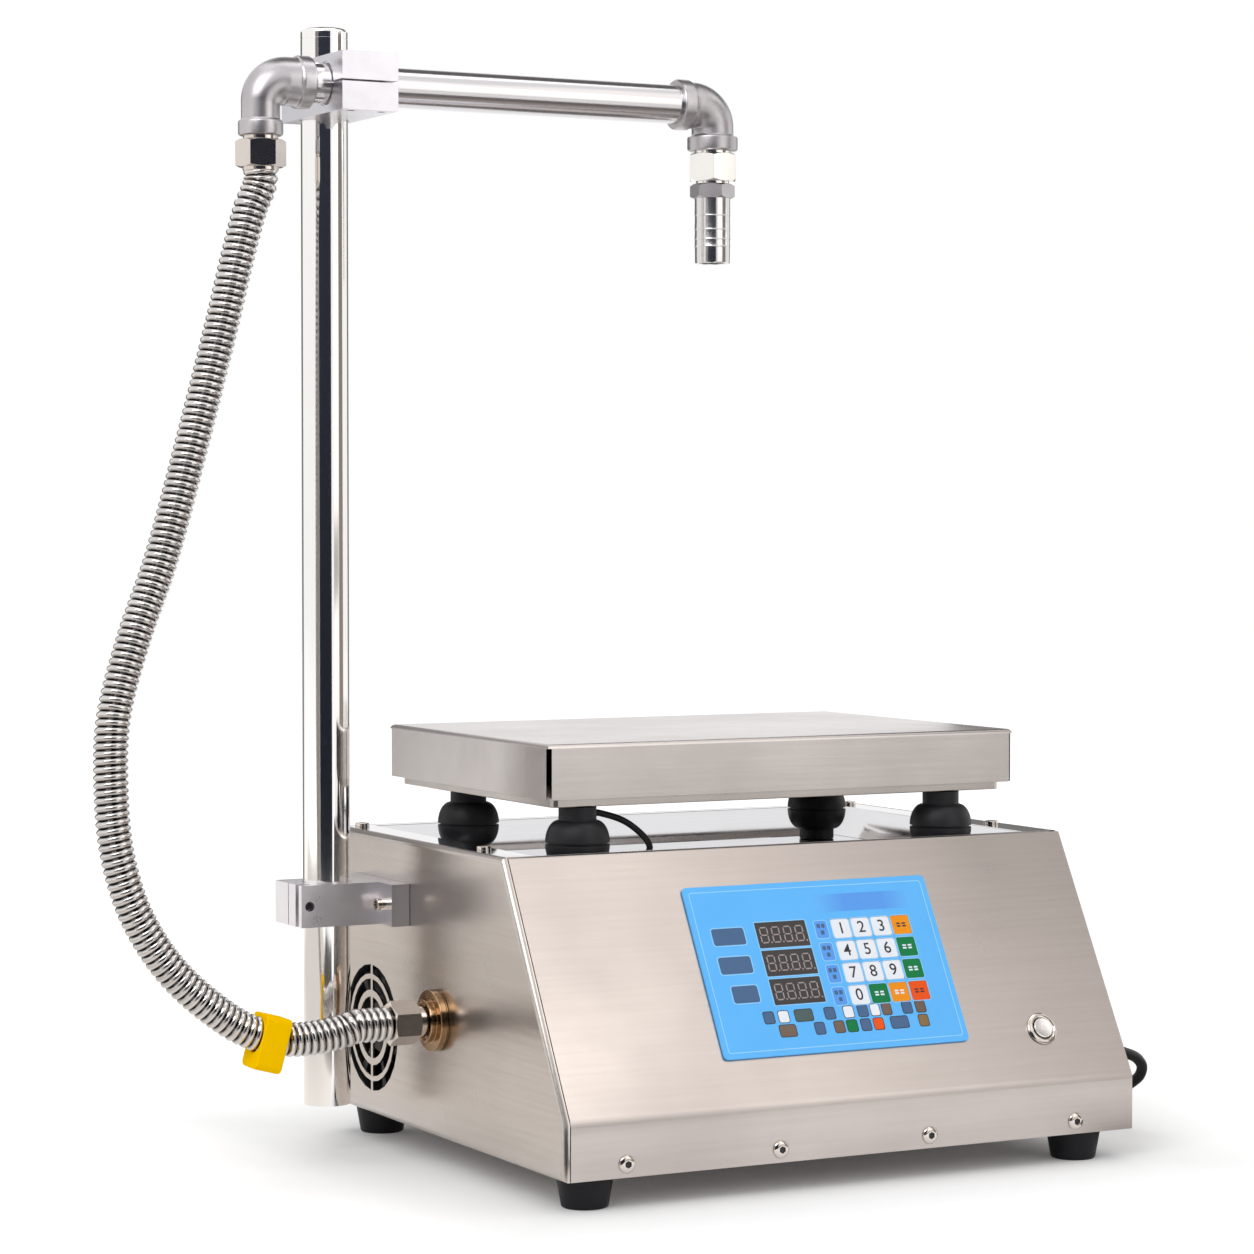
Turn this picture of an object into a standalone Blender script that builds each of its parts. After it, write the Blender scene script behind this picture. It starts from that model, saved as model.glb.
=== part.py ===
"""Weighing filler: a pump cabinet with a scale on top, and a mast that holds the filling nozzle.

Sizes are metres and +Z is up. The pieces are placed from the cabinet's lower front left corner,
with +X to the right and +Y to the back. One empty carries them all, and moves them so that the
floor is at z = 0 and the middle of the rigid pieces is at x = y = 0.
"""

import math
from itertools import pairwise

import bmesh
import bpy
from mathutils import Vector

# Cabinet of folded sheet
CABINET_WIDTH = 0.430
CABINET_DEPTH = 0.357
CABINET_HEIGHT = 0.1946
LIP_HEIGHT = 0.0365
SLOPE_RUN = 0.0886
SHEET = 0.0015
SEAM = 0.0006
SIDE_RETURN = 0.0045
TOP_FOLD = 0.0035
TRAY_WALL = 0.010

# Clearance between two pieces that touch, and how far a cutter runs past what it cuts
SEAT = 0.0003
OVERRUN = 0.002

# Well in the top plate, where the scale stands
WELL_DEPTH = 0.018
WELL_SIDE_INSET = 0.027
WELL_FRONT_LIP = 0.002
WELL_REAR_LIP = 0.008

# Rubber feet under the cabinet
FOOT_TOP_RADIUS = 0.0188
FOOT_BOTTOM_RADIUS = 0.0152
FOOT_HEIGHT = 0.0218
FOOT_CHAMFER = 0.002
FOOT_INSET_LEFT = 0.026
FOOT_INSET_RIGHT = 0.033
FOOT_INSET_Y = 0.022

# Outlet on the left side
OUTLET_FROM_REAR = 0.171
OUTLET_Z = 0.0785
OUTLET_SPIGOT_RADIUS = 0.010
OUTLET_BORE_RADIUS = 0.0075
OUTLET_BACK_DISC = (0.0205, 0.0030)
OUTLET_FRONT_DISC = (0.0202, 0.0062)
OUTLET_GROOVE = (0.0190, 0.0004)
OUTLET_BOSS = (0.0140, 0.0105)

# Hose nuts, across flats and long
LOWER_NUT_FLATS = 0.026
LOWER_NUT_LENGTH = 0.019
LOWER_NUT_NECK_RADIUS = 0.0105
LOWER_NUT_NECK_LENGTH = 0.0055
UPPER_NUT_FLATS = 0.029
UPPER_NUT_LENGTH = 0.018
UPPER_NUT_NECK_RADIUS = 0.0115
UPPER_NUT_NECK_LENGTH = 0.0022
UPPER_NUT_TURN = math.radians(-33)
NUT_BORE_RADIUS = 0.0065
NUT_CHAMFER = 0.0012

# Ribbed metal hose between the two nuts
HOSE_RADIUS = 0.011
HOSE_ROOT_SHARE = 0.86
HOSE_BORE_RADIUS = 0.0072
HOSE_RIB_PITCH = 0.0049
HOSE_CLIP_ALONG = 0.094
HOSE_CLIP_LENGTH = 0.0175
HOSE_CLIP_WIDTH = 0.028
HOSE_CLIP_HEIGHT = 0.035
HOSE_CLIP_CORNER = 0.009
HOSE_CLIP_CLEARANCE = 0.0006

# Mast, its bracket on the cabinet, and the clamp that crosses it with the arm
MAST_X = -0.042
MAST_FROM_REAR = 0.0835
MAST_RADIUS = 0.016
MAST_WALL = 0.0015
MAST_BOTTOM = 0.0137
MAST_TOP = 0.741
MAST_TOP_ROUNDING = 0.003
BRACKET_BELOW_TOP = 0.0436
BRACKET_HEIGHT = 0.0285
BRACKET_PLATE_THICKNESS = 0.013
BRACKET_PLATE_WIDTH = 0.088
BRACKET_BLOCK_WIDTH = 0.046
BRACKET_END_MARGIN = 0.028
BRACKET_SLIT = 0.001
BRACKET_RELIEF_WIDTH = 0.0055
BRACKET_RELIEF_DEPTH = 0.009
BRACKET_RELIEF_WALL = 0.0050
BRACKET_BOLT_RADIUS = 0.0033
BRACKET_BOLT_INSET = 0.0060
CLAMP_WIDTH = 0.040
CLAMP_HEIGHT = 0.0384
CLAMP_FRONT_MARGIN = 0.0295
CLAMP_REAR_MARGIN = 0.027
CLAMP_SLIT = 0.0013
CLAMP_BOLT_RADIUS = 0.0028
CLAMP_BOLT_SPACING = 0.022
CLAMP_BOLT_INSET = 0.0075

# Arm tube and the elbows at its ends
ARM_BEFORE_MAST = 0.0475
ARM_BELOW_MAST_TOP = 0.0425
ARM_RADIUS = 0.01335
ARM_WALL = 0.00175
ARM_INSERTION = 0.012
LEFT_LEG_X = -0.1075
NOZZLE_FROM_PLATTER_MIDDLE = 0.0112
LEFT_ELBOW_REACH = 0.034
RIGHT_ELBOW_REACH = 0.030
ELBOW_BAND_WIDTH = 0.010
ELBOW_BAND_RADIUS = 0.0175
ELBOW_BODY_RADIUS = 0.0160
ELBOW_BEAD = 0.0008
ELBOW_BEND_RADIUS = 0.016
LEFT_ELBOW_DROP = 0.0365
LEFT_LEG_BAND_RADIUS = 0.0148
LEFT_LEG_BODY_RADIUS = 0.0128
LEFT_LEG_BORE_RADIUS = 0.0080
RIGHT_ELBOW_DROP = 0.031
RIGHT_LEG_BAND_RADIUS = 0.0176
RIGHT_LEG_BODY_RADIUS = 0.0146
RIGHT_LEG_BORE_RADIUS = 0.0100

# Filling nozzle under the right elbow
NIPPLE_FLATS = 0.0315
NIPPLE_LENGTH = 0.0195
NIPPLE_TOP_NECK = (0.0125, 0.0017)
NIPPLE_BOTTOM_NECK = (0.0115, 0.0012)
NIPPLE_BORE_RADIUS = 0.0070
NIPPLE_SPIGOT_LENGTH = 0.010
NIPPLE_TURN = math.radians(-28)
BARB_FLATS = 0.0273
BARB_HEX_LENGTH = 0.010
BARB_HEX_TURN = math.radians(-6)
BARB_LENGTH = 0.0453
BARB_RADIUS = 0.0124
BARB_RIDGE_RADIUS = 0.0130
BARB_TIP_RADIUS = 0.0122
BARB_BORE_RADIUS = 0.0090
BARB_RIDGE_SHARES = (0.26, 0.37, 0.52, 0.735)

# Scale: platter, spider, load cell, base and rubber bumpers
PLATTER_LEFT_INSET = 0.040
PLATTER_RIGHT_INSET = 0.030
PLATTER_FRONT_INSET = 0.0124
PLATTER_REAR_INSET = 0.006
PLATTER_ABOVE_BASE = 0.042
PLATTER_SKIRT = 0.0365
PLATTER_SHEET = 0.0015
BASE_INSET = 0.0065
BASE_SHEET = 0.002
BASE_WALL = 0.014
CELL_LENGTH = 0.130
CELL_WIDTH = 0.030
CELL_HEIGHT = 0.022
CELL_PAD_LENGTH = 0.030
CELL_FOOT_HEIGHT = 0.004
CELL_HEAD_HEIGHT = 0.003
CELL_EYE_RADIUS = 0.007
CELL_EYE_SPACING = 0.034
CELL_NECK = 0.004
WEIGH_TRAVEL = 0.0005
SPIDER_INSET = 0.050
SPIDER_SHEET = 0.0025
SPIDER_SHELF = 0.030
BUMPER_RADIUS = 0.0213
BUMPER_NECK_RADIUS = 0.0125
BUMPER_LOWER_NECK = 0.007
BUMPER_GROOVE = 0.0015
BUMPER_GROOVE_DEPTH = 0.002
BUMPER_UPPER_NECK = 0.009
BUMPER_SPACE = 0.0469
BUMPER_LEFT_INSET = 0.070
BUMPER_RIGHT_INSET = 0.078
BUMPER_FRONT_INSET = 0.0294
BUMPER_REAR_INSET = 0.072
SCALE_CABLE_RADIUS = 0.0019
SCALE_CABLE_HOLE_RADIUS = 0.0030
SCALE_CABLE_BESIDE_BUMPER = 0.010
SCALE_CABLE_BEHIND_BUMPER = 0.022
SCALE_CABLE_REACH = 0.053

# Keypad on the slope, placed by its lower left corner
KEYPAD_LEFT_OF_MIDDLE = 0.092
KEYPAD_UP_SLOPE = 0.033
KEYPAD_WIDTH = 0.186
KEYPAD_HEIGHT = 0.120
KEYPAD_THICKNESS = 0.0016
KEYPAD_CORNER = 0.003
KEY_WIDTH = 0.0139
KEY_HEIGHT = 0.0134
KEY_THICKNESS = 0.0009
KEY_CORNER = 0.0016
KEY_TRAVEL = 0.0004
KEY_PITCH_X = 0.0155
KEY_PITCH_Y = 0.0158
KEY_FIRST_IN_KEYPAD = (0.1115, 0.085)
KEY_NAMES = (
    ("key_1", "key_2", "key_3", "key_tare"),
    ("key_4", "key_5", "key_6", "key_set"),
    ("key_7", "key_8", "key_9", "key_save"),
    ("key_0", "key_clear", "key_pause", "key_stop"),
)

# Push button on the slope
BUTTON_FROM_RIGHT = 0.0614
BUTTON_UP_SLOPE = 0.0374
BUTTON_BEZEL_RADIUS = 0.0112
BUTTON_BEZEL_HEIGHT = 0.0022
BUTTON_BEZEL_CHAMFER = 0.0010
BUTTON_BARREL_RADIUS = 0.0095
BUTTON_BARREL_LENGTH = 0.022
BUTTON_CAP_RADIUS = 0.0073
BUTTON_CAP_LENGTH = 0.013
BUTTON_CAP_STANDS = 0.0008
BUTTON_CAP_CHAMFER = 0.0005

# Fan behind its grille in the left side
FAN_FROM_REAR = 0.0635
FAN_Z = 0.060
FAN_SIZE = 0.092
FAN_THICKNESS = 0.025
FAN_BORE_RADIUS = 0.044
FAN_BLADE_RADIUS = 0.042
FAN_HUB_RADIUS = 0.018
FAN_ROTOR_THICKNESS = 0.018
FAN_STRUT = 0.003
FAN_BLADES = 7
FAN_BLADE_SHARE = 0.18
FAN_TWIST = math.radians(26)
GRILLE_RINGS = ((0.0372, 0.0437), (0.0261, 0.0337), (0.0110, 0.0213))
GRILLE_SPOKE = 0.0032
GRILLE_ARC_STEPS = 6

# Pump and motor inside the cabinet, on one axis that runs front to back
PUMP_X = 0.100
PUMP_RADIUS = 0.038
PUMP_BODY_LENGTH = 0.054
PUMP_CHAMBER_RADIUS = 0.030
PUMP_BACK_WALL = 0.006
INLET_RADIUS = 0.010
INLET_BORE_RADIUS = 0.0075
INLET_COLLAR_RADIUS = 0.018
INLET_COLLAR_LENGTH = 0.005
INLET_TAIL_LENGTH = 0.028
INLET_RIDGE_RADIUS = 0.0106
INLET_RIDGES = 3
IMPELLER_RADIUS = 0.027
IMPELLER_ROOT_RADIUS = 0.019
IMPELLER_LENGTH = 0.028
IMPELLER_LOBES = 8
IMPELLER_LOBE_SHARE = 0.45
SHAFT_RADIUS = 0.005
SHAFT_LENGTH = 0.042
MOTOR_RADIUS = 0.036
MOTOR_FROM_FRONT = 0.053
MOTOR_CHAMFER = 0.002
MOTOR_FOOT_WIDTH = 0.050
MOTOR_FOOT_SHARE = 0.66

# Power cord, from a gland on the right side to a coil and a plug behind the cabinet
GLAND_Y = 0.060
GLAND_Z = 0.044
GLAND_THREAD_RADIUS = 0.0078
GLAND_THREAD_LENGTH = 0.009
GLAND_FLATS = 0.020
GLAND_HEX_LENGTH = 0.006
GLAND_DOME_RADIUS = 0.0090
GLAND_DOME_TIP_RADIUS = 0.0060
GLAND_DOME_LENGTH = 0.014
CORD_RADIUS = 0.0035
COIL_FROM_RIGHT = 0.0325
COIL_BEHIND_CABINET = 0.101
COIL_OUTER_RADIUS = 0.0475
COIL_PITCH = 0.0078
COIL_LAYER_RISE = 0.0078
COIL_TURNS_PER_LAYER = 2
COIL_POINTS_PER_TURN = 24
COIL_TAIL = 0.035
PLUG_LENGTH = 0.038
PLUG_WIDTH = 0.032
PLUG_HEIGHT = 0.022
PLUG_CORNER = 0.005
PLUG_TAPER_SHARE = 0.45
PLUG_TAPER_LENGTH = 0.014
PLUG_PIN_RADIUS = 0.0024
PLUG_PIN_LENGTH = 0.019
PLUG_PIN_SPACING = 0.019

# Counts of sides on round pieces
ROUND_SIDES = 28
SMALL_SIDES = 20
HEX_SIDES = 24
BORE_SIDES = 12
BEND_STEPS = 6
DOME_STEPS = 4
SMOOTH_ANGLE = math.radians(35)

# Turns that lay a piece's own axes along the cabinet's
ALONG_PLUS_X = (0, math.pi / 2, 0)
ALONG_MINUS_X = (0, -math.pi / 2, 0)
ALONG_PLUS_Y = (-math.pi / 2, 0, 0)
SIDE_OUTLINE = (math.pi / 2, 0, math.pi / 2)

# Places worked out from the sizes above
SLOPE_ANGLE = math.atan2(CABINET_HEIGHT - LIP_HEIGHT, SLOPE_RUN)
FLOOR_Z = SHEET + SEAM - SEAT - FOOT_HEIGHT
WELL_FLOOR = CABINET_HEIGHT - WELL_DEPTH
MAST_Y = CABINET_DEPTH - MAST_FROM_REAR
ARM_Y = MAST_Y - ARM_BEFORE_MAST
ARM_Z = MAST_TOP - ARM_BELOW_MAST_TOP
BRACKET_Z = CABINET_HEIGHT - BRACKET_BELOW_TOP
OUTLET_Y = CABINET_DEPTH - OUTLET_FROM_REAR
FAN_Y = CABINET_DEPTH - FAN_FROM_REAR
BASE_BOTTOM = WELL_FLOOR + BUMPER_SPACE
PLATTER_TOP = BASE_BOTTOM + PLATTER_ABOVE_BASE
PLATTER_FRONT = SLOPE_RUN + PLATTER_FRONT_INSET
PLATTER_REAR = CABINET_DEPTH - PLATTER_REAR_INSET
PLATTER_RIGHT = CABINET_WIDTH - PLATTER_RIGHT_INSET
PLATTER_WIDTH = PLATTER_RIGHT - PLATTER_LEFT_INSET
PLATTER_DEPTH = PLATTER_REAR - PLATTER_FRONT
PLATTER_X = (PLATTER_LEFT_INSET + PLATTER_RIGHT) / 2
PLATTER_Y = (PLATTER_FRONT + PLATTER_REAR) / 2
BUMPER_FRONT_Y = SLOPE_RUN + BUMPER_FRONT_INSET
BUMPER_REAR_Y = CABINET_DEPTH - BUMPER_REAR_INSET
RIGHT_LEG_X = PLATTER_X + NOZZLE_FROM_PLATTER_MIDDLE
KEYPAD_X = CABINET_WIDTH / 2 - KEYPAD_LEFT_OF_MIDDLE
BUTTON_X = CABINET_WIDTH - BUTTON_FROM_RIGHT
COIL_X = CABINET_WIDTH - COIL_FROM_RIGHT
COIL_Y = CABINET_DEPTH + COIL_BEHIND_CABINET
PANEL_LEFT = SIDE_RETURN + SEAM
PANEL_RIGHT = CABINET_WIDTH - SIDE_RETURN - SEAM
OUTLET_FACE = OUTLET_BOSS[1] + SEAT
LOWER_NUT_END = OUTLET_FACE + LOWER_NUT_NECK_LENGTH + LOWER_NUT_LENGTH
UPPER_NUT_TOP = ARM_Z - LEFT_ELBOW_DROP - SEAT - UPPER_NUT_NECK_LENGTH
NIPPLE_TOP = ARM_Z - RIGHT_ELBOW_DROP - SEAT - NIPPLE_TOP_NECK[1]
BARB_TOP = NIPPLE_TOP - NIPPLE_LENGTH - NIPPLE_BOTTOM_NECK[1] - SEAT
CELL_BOTTOM = BASE_BOTTOM + BASE_SHEET + SEAT
CELL_TOP = CELL_BOTTOM + CELL_FOOT_HEIGHT + CELL_HEIGHT + CELL_HEAD_HEIGHT
SPIDER_BOTTOM = CELL_TOP + WEIGH_TRAVEL + SEAT
SPIDER_TOP = PLATTER_TOP - PLATTER_SHEET - SEAT
CLAMP_FRONT = ARM_Y - CLAMP_FRONT_MARGIN
CLAMP_REAR = MAST_Y + CLAMP_REAR_MARGIN
BRACKET_END = MAST_X - BRACKET_END_MARGIN
GLAND_TIP = CABINET_WIDTH + SEAT + GLAND_HEX_LENGTH + GLAND_DOME_LENGTH
PUMP_FRONT = OUTLET_Y - PUMP_BODY_LENGTH / 2
MOTOR_LENGTH = PUMP_FRONT - MOTOR_FROM_FRONT
CORD_FLOOR_Z = FLOOR_Z + CORD_RADIUS + SEAT
HOSE_START = Vector((-LOWER_NUT_END - SEAT, OUTLET_Y, OUTLET_Z))
HOSE_END = Vector((LEFT_LEG_X, ARM_Y, UPPER_NUT_TOP - UPPER_NUT_LENGTH - SEAT))
CORD_END = Vector((COIL_X + COIL_OUTER_RADIUS, COIL_Y - 2 * CORD_RADIUS - SEAT, CORD_FLOOR_Z))

# Routes of the free cords, chosen by hand between their fixed ends
# Hose: x, distance behind the outlet, and height as a share of the hose's whole rise
HOSE_ROUTE = (
    (-0.070, 0.0002, -0.0059),
    (-0.098, 0.0010, -0.0112),
    (-0.122, 0.0017, -0.0050),
    (-0.146, 0.0028, 0.0155),
    (-0.182, 0.0052, 0.0711),
    (-0.206, 0.0080, 0.1360),
    (-0.218, 0.0110, 0.2035),
    (-0.2215, 0.0142, 0.2735),
    (-0.2185, 0.0185, 0.3638),
    (-0.203, 0.0231, 0.4539),
    (-0.1825, 0.0275, 0.5447),
    (-0.158, 0.0334, 0.6826),
    (-0.1352, 0.0378, 0.8219),
    (-0.1165, 0.0397, 0.9268),
)
# Power cord: distance right of the cabinet and behind the gland, and height
CORD_ROUTE = (
    (0.0389, 0.0020, 0.0400),
    (0.0500, 0.0050, 0.0357),
    (0.0588, 0.0102, 0.0285),
    (0.0617, 0.0170, 0.0205),
    (0.0613, 0.0260, 0.0143),
    (0.0600, 0.0400, 0.0062),
    (0.0550, 0.0620, -0.0040),
    (0.0470, 0.0880, -0.0118),
    (0.0380, 0.1150, -0.0153),
    (0.0310, 0.1450, -0.0161),
)
# Scale cable: distances from its start
SCALE_CABLE_ROUTE = (
    (0.0020, 0, -0.0044),
    (0.0080, 0, -0.0060),
    (0.0180, 0, -0.0072),
    (0.0360, 0, -0.0132),
    (0.0500, 0, -0.0232),
    (0.0555, 0, -0.0312),
    (0.0535, 0, -0.0382),
)
SCALE_CABLE_START = Vector((
    BUMPER_LEFT_INSET + SCALE_CABLE_BESIDE_BUMPER,
    BUMPER_FRONT_Y + SCALE_CABLE_BEHIND_BUMPER,
    BASE_BOTTOM - SEAT,
))
SCALE_CABLE_END = Vector((
    SCALE_CABLE_START.x + SCALE_CABLE_REACH,
    SCALE_CABLE_START.y,
    WELL_FLOOR - WELL_DEPTH / 2,
))

# Colours, roughness and metallic value of each material
STEEL = ((0.56, 0.54, 0.52, 1), 0.32, 1)
POLISHED_STEEL = ((0.72, 0.71, 0.70, 1), 0.10, 1)
CAST_STEEL = ((0.52, 0.51, 0.52, 1), 0.38, 1)
ALUMINIUM = ((0.66, 0.66, 0.69, 1), 0.35, 1)
BRASS = ((0.44, 0.30, 0.16, 1), 0.30, 1)
RUBBER = ((0.012, 0.012, 0.014, 1), 0.60, 0)
BLACK_PLASTIC = ((0.02, 0.02, 0.02, 1), 0.45, 0)
YELLOW_PLASTIC = ((0.90, 0.52, 0.01, 1), 0.35, 0)
KEYPAD_BLUE = ((0.13, 0.45, 0.95, 1), 0.40, 0)
KEY_WHITE = ((0.92, 0.93, 0.95, 1), 0.40, 0)
KEY_ORANGE = ((0.95, 0.35, 0.02, 1), 0.40, 0)
KEY_GREEN = ((0.02, 0.30, 0.12, 1), 0.40, 0)
KEY_RED = ((0.95, 0.18, 0.03, 1), 0.40, 0)
KEY_COLOURS = {
    "key_tare": KEY_ORANGE,
    "key_set": KEY_GREEN,
    "key_save": KEY_GREEN,
    "key_clear": KEY_GREEN,
    "key_pause": KEY_ORANGE,
    "key_stop": KEY_RED,
}


def empty(name, parent, location=(0, 0, 0), rotation=(0, 0, 0)):
    """An empty that carries pieces."""
    holder = bpy.data.objects.new(name, None)
    bpy.context.scene.collection.objects.link(holder)
    holder.parent = parent
    holder.location = location
    holder.rotation_euler = rotation
    return holder


def material(name, look):
    """A Principled material with a colour, a roughness and a metallic value."""
    colour, roughness, metallic = look
    made = bpy.data.materials.new(name)
    made.use_nodes = True
    surface = made.node_tree.nodes["Principled BSDF"]
    surface.inputs["Base Color"].default_value = colour
    surface.inputs["Roughness"].default_value = roughness
    surface.inputs["Metallic"].default_value = metallic
    made.diffuse_color = colour
    return made


def place(name, data, look, parent, location=(0, 0, 0), rotation=(0, 0, 0)):
    """An object that shows the mesh or curve, with a material of its own."""
    piece = bpy.data.objects.new(name, data)
    data.materials.append(material(name, look))
    bpy.context.scene.collection.objects.link(piece)
    piece.parent = parent
    piece.location = location
    piece.rotation_euler = rotation
    return piece


def ring(radius, height, sides, flats=None, turn=0):
    """Points round the Z axis: a circle, or a hexagon that the radius trims at its corners."""
    if radius == 0:
        return [Vector((0, 0, height))]
    points = []
    for i in range(sides):
        angle = 2 * math.pi * i / sides
        reach = radius
        if flats:
            from_flat = (angle + math.pi / 6) % (math.pi / 3) - math.pi / 6
            reach = min(radius, flats / 2 / math.cos(from_flat))
        points.append(Vector((reach * math.cos(angle + turn), reach * math.sin(angle + turn), height)))
    return points


def loft(name, rings, closed=False, smooth=False):
    """A mesh through rings of points. A ring of one point is a tip, and open ends get a face."""
    shape = bmesh.new()
    loops = [[shape.verts.new(point) for point in points] for points in rings]
    pairs = list(pairwise(loops))
    if closed:
        pairs.append((loops[-1], loops[0]))
    for low, high in pairs:
        count = max(len(low), len(high))
        for i in range(count):
            j = (i + 1) % count
            if len(low) == 1:
                shape.faces.new((low[0], high[j], high[i]))
            elif len(high) == 1:
                shape.faces.new((low[i], low[j], high[0]))
            else:
                shape.faces.new((low[i], low[j], high[j], high[i]))
    if not closed:
        for end in (loops[0], loops[-1]):
            if len(end) > 1:
                shape.faces.new(end)
    bmesh.ops.recalc_face_normals(shape, faces=shape.faces)
    mesh = bpy.data.meshes.new(name)
    shape.to_mesh(mesh)
    shape.free()
    if smooth:
        mesh.shade_smooth()
        mesh.set_sharp_from_angle(angle=SMOOTH_ANGLE)
    return mesh


def turned(name, profile, sides=ROUND_SIDES, closed=False, turn=0):
    """A mesh turned round Z from (radius, height) or (radius, height, across flats) steps."""
    rings = [ring(step[0], step[1], sides, *step[2:], turn=turn) for step in profile]
    return loft(name, rings, closed=closed, smooth=True)


def prism(name, outline, low, high, smooth=False):
    """A mesh with the outline's shape in X and Y, between two heights."""
    rings = [[Vector((x, y, height)) for x, y in outline] for height in (low, high)]
    return loft(name, rings, smooth=smooth)


def box(name, low, high):
    """A box mesh between two corners."""
    outline = ((low[0], low[1]), (high[0], low[1]), (high[0], high[1]), (low[0], high[1]))
    return prism(name, outline, low[2], high[2])


def rectangle(left, front, right, back):
    """The outline of an upright rectangle."""
    return [(left, front), (right, front), (right, back), (left, back)]


def rounded_rectangle(width, height, corner, steps=3):
    """The outline of a rectangle round the origin, with round corners."""
    outline = []
    for quarter, (side, end) in enumerate(((1, 1), (-1, 1), (-1, -1), (1, -1))):
        for i in range(steps + 1):
            angle = (quarter + i / steps) * math.pi / 2
            x = side * (width / 2 - corner) + corner * math.cos(angle)
            y = end * (height / 2 - corner) + corner * math.sin(angle)
            outline.append((x, y))
    return outline


def divided(outline, spacing):
    """The same outline, with more points along its long sides."""
    points = []
    for here, there in zip(outline, outline[1:] + outline[:1], strict=True):
        steps = math.ceil(math.dist(here, there) / spacing)
        for i in range(steps):
            share = i / steps
            points.append((here[0] + (there[0] - here[0]) * share, here[1] + (there[1] - here[1]) * share))
    return points


def crossing(start, along, other_start, other_along):
    """The point where two lines in a plane cross."""
    turn = along.x * other_along.y - along.y * other_along.x
    gap = other_start - start
    return start + along * ((gap.x * other_along.y - gap.y * other_along.x) / turn)


def inset(outline, distance):
    """The outline of a convex shape, listed anticlockwise, moved inward."""
    corners = [Vector(point) for point in outline]
    edges = []
    for here, there in zip(corners, corners[1:] + corners[:1], strict=True):
        along = (there - here).normalized()
        edges.append((here + Vector((-along.y, along.x)) * distance, along))
    return [tuple(crossing(*edges[i - 1], *edges[i])) for i in range(len(edges))]


def thickened(path, thickness):
    """The outline of a folded sheet: an open path, and the same path moved to its right."""
    corners = [Vector(point) for point in path]
    edges = []
    for here, there in pairwise(corners):
        along = (there - here).normalized()
        edges.append((here + Vector((along.y, -along.x)) * thickness, along))
    inner = [edges[0][0]]
    for before, after in pairwise(edges):
        inner.append(crossing(*before, *after))
    last_start, last_along = edges[-1]
    inner.append(last_start + last_along * (corners[-1] - corners[-2]).length)
    return [tuple(point) for point in corners] + [tuple(point) for point in reversed(inner)]


def pan(name, outline, depth, wall):
    """A shallow pan: a flat sheet at height 0 with its edges folded up by the depth."""
    inner = inset(outline, wall)
    steps = ((outline, 0), (outline, depth), (inner, depth), (inner, wall if depth > 0 else -wall))
    return loft(name, [[Vector((x, y, height)) for x, y in shape] for shape, height in steps])


def combine(piece, other, operation):
    """Cut the other shape from a piece, or join it on, and hide the other shape."""
    other.parent = piece.parent
    other.hide_render = True
    other.display_type = "WIRE"
    step = piece.modifiers.new(other.name, "BOOLEAN")
    step.operation = operation
    step.object = other


def cut(piece, name, mesh, location=(0, 0, 0), rotation=(0, 0, 0)):
    """Cut a shape from a piece."""
    cutter = bpy.data.objects.new(name, mesh)
    bpy.context.scene.collection.objects.link(cutter)
    cutter.location = location
    cutter.rotation_euler = rotation
    combine(piece, cutter, "DIFFERENCE")


def join(piece, name, mesh, location=(0, 0, 0), rotation=(0, 0, 0)):
    """Join a shape onto a piece."""
    added = bpy.data.objects.new(name, mesh)
    bpy.context.scene.collection.objects.link(added)
    added.location = location
    added.rotation_euler = rotation
    combine(piece, added, "UNION")


def hole(radius, start, end, sides=SMALL_SIDES):
    """A round cutter along Z, whose flats clear the radius."""
    reach = radius / math.cos(math.pi / sides)
    return turned("hole", ((reach, start), (reach, end)), sides)


def smooth_route(points, first_way, last_way, spacing):
    """Evenly spaced points on a smooth curve through the given points."""
    knots = [Vector(point) for point in points]
    ways = [Vector(first_way)]
    for before, here, after in zip(knots, knots[1:], knots[2:]):
        ways.append((after - before) / ((after - here).length + (here - before).length))
    ways.append(Vector(last_way))
    fine = [knots[0]]
    for i, (here, there) in enumerate(pairwise(knots)):
        chord = (there - here).length
        steps = max(2, round(chord / spacing) * 8)
        for step in range(1, steps + 1):
            t = step / steps
            start_pull = ways[i] * chord * (t * (1 - t) ** 2)
            end_pull = ways[i + 1] * chord * (t * t * (t - 1))
            blend = t * t * (3 - 2 * t)
            fine.append(here + (there - here) * blend + start_pull + end_pull)
    return evenly(fine, spacing)


def evenly(fine, spacing, count=None):
    """Points at even distances along a chain of points."""
    lengths = [0.0]
    for here, there in pairwise(fine):
        lengths.append(lengths[-1] + (there - here).length)
    count = count or max(2, round(lengths[-1] / spacing))
    spaced = []
    segment = 0
    for i in range(count + 1):
        target = lengths[-1] * i / count
        while segment < len(fine) - 2 and lengths[segment + 1] < target:
            segment += 1
        span = lengths[segment + 1] - lengths[segment]
        share = (target - lengths[segment]) / span
        spaced.append(fine[segment].lerp(fine[segment + 1], share))
    return spaced


def tube_curve(name, points, radius, resolution, shares=None):
    """A curve with a round bevel and filled ends through the points."""
    curve = bpy.data.curves.new(name, "CURVE")
    curve.dimensions = "3D"
    curve.bevel_depth = radius
    curve.bevel_resolution = resolution
    curve.use_fill_caps = True
    spline = curve.splines.new("POLY")
    spline.points.add(len(points) - 1)
    for i, point in enumerate(points):
        spline.points[i].co = (*point, 1)
        spline.points[i].radius = shares[i] if shares else 1
    return curve


def curve_mesh(curve):
    """The mesh of a curve's tube."""
    holder = bpy.data.objects.new(curve.name, curve)
    bpy.context.scene.collection.objects.link(holder)
    view = bpy.context.evaluated_depsgraph_get()
    mesh = bpy.data.meshes.new_from_object(holder.evaluated_get(view))
    bpy.data.objects.remove(holder)
    return mesh


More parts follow.
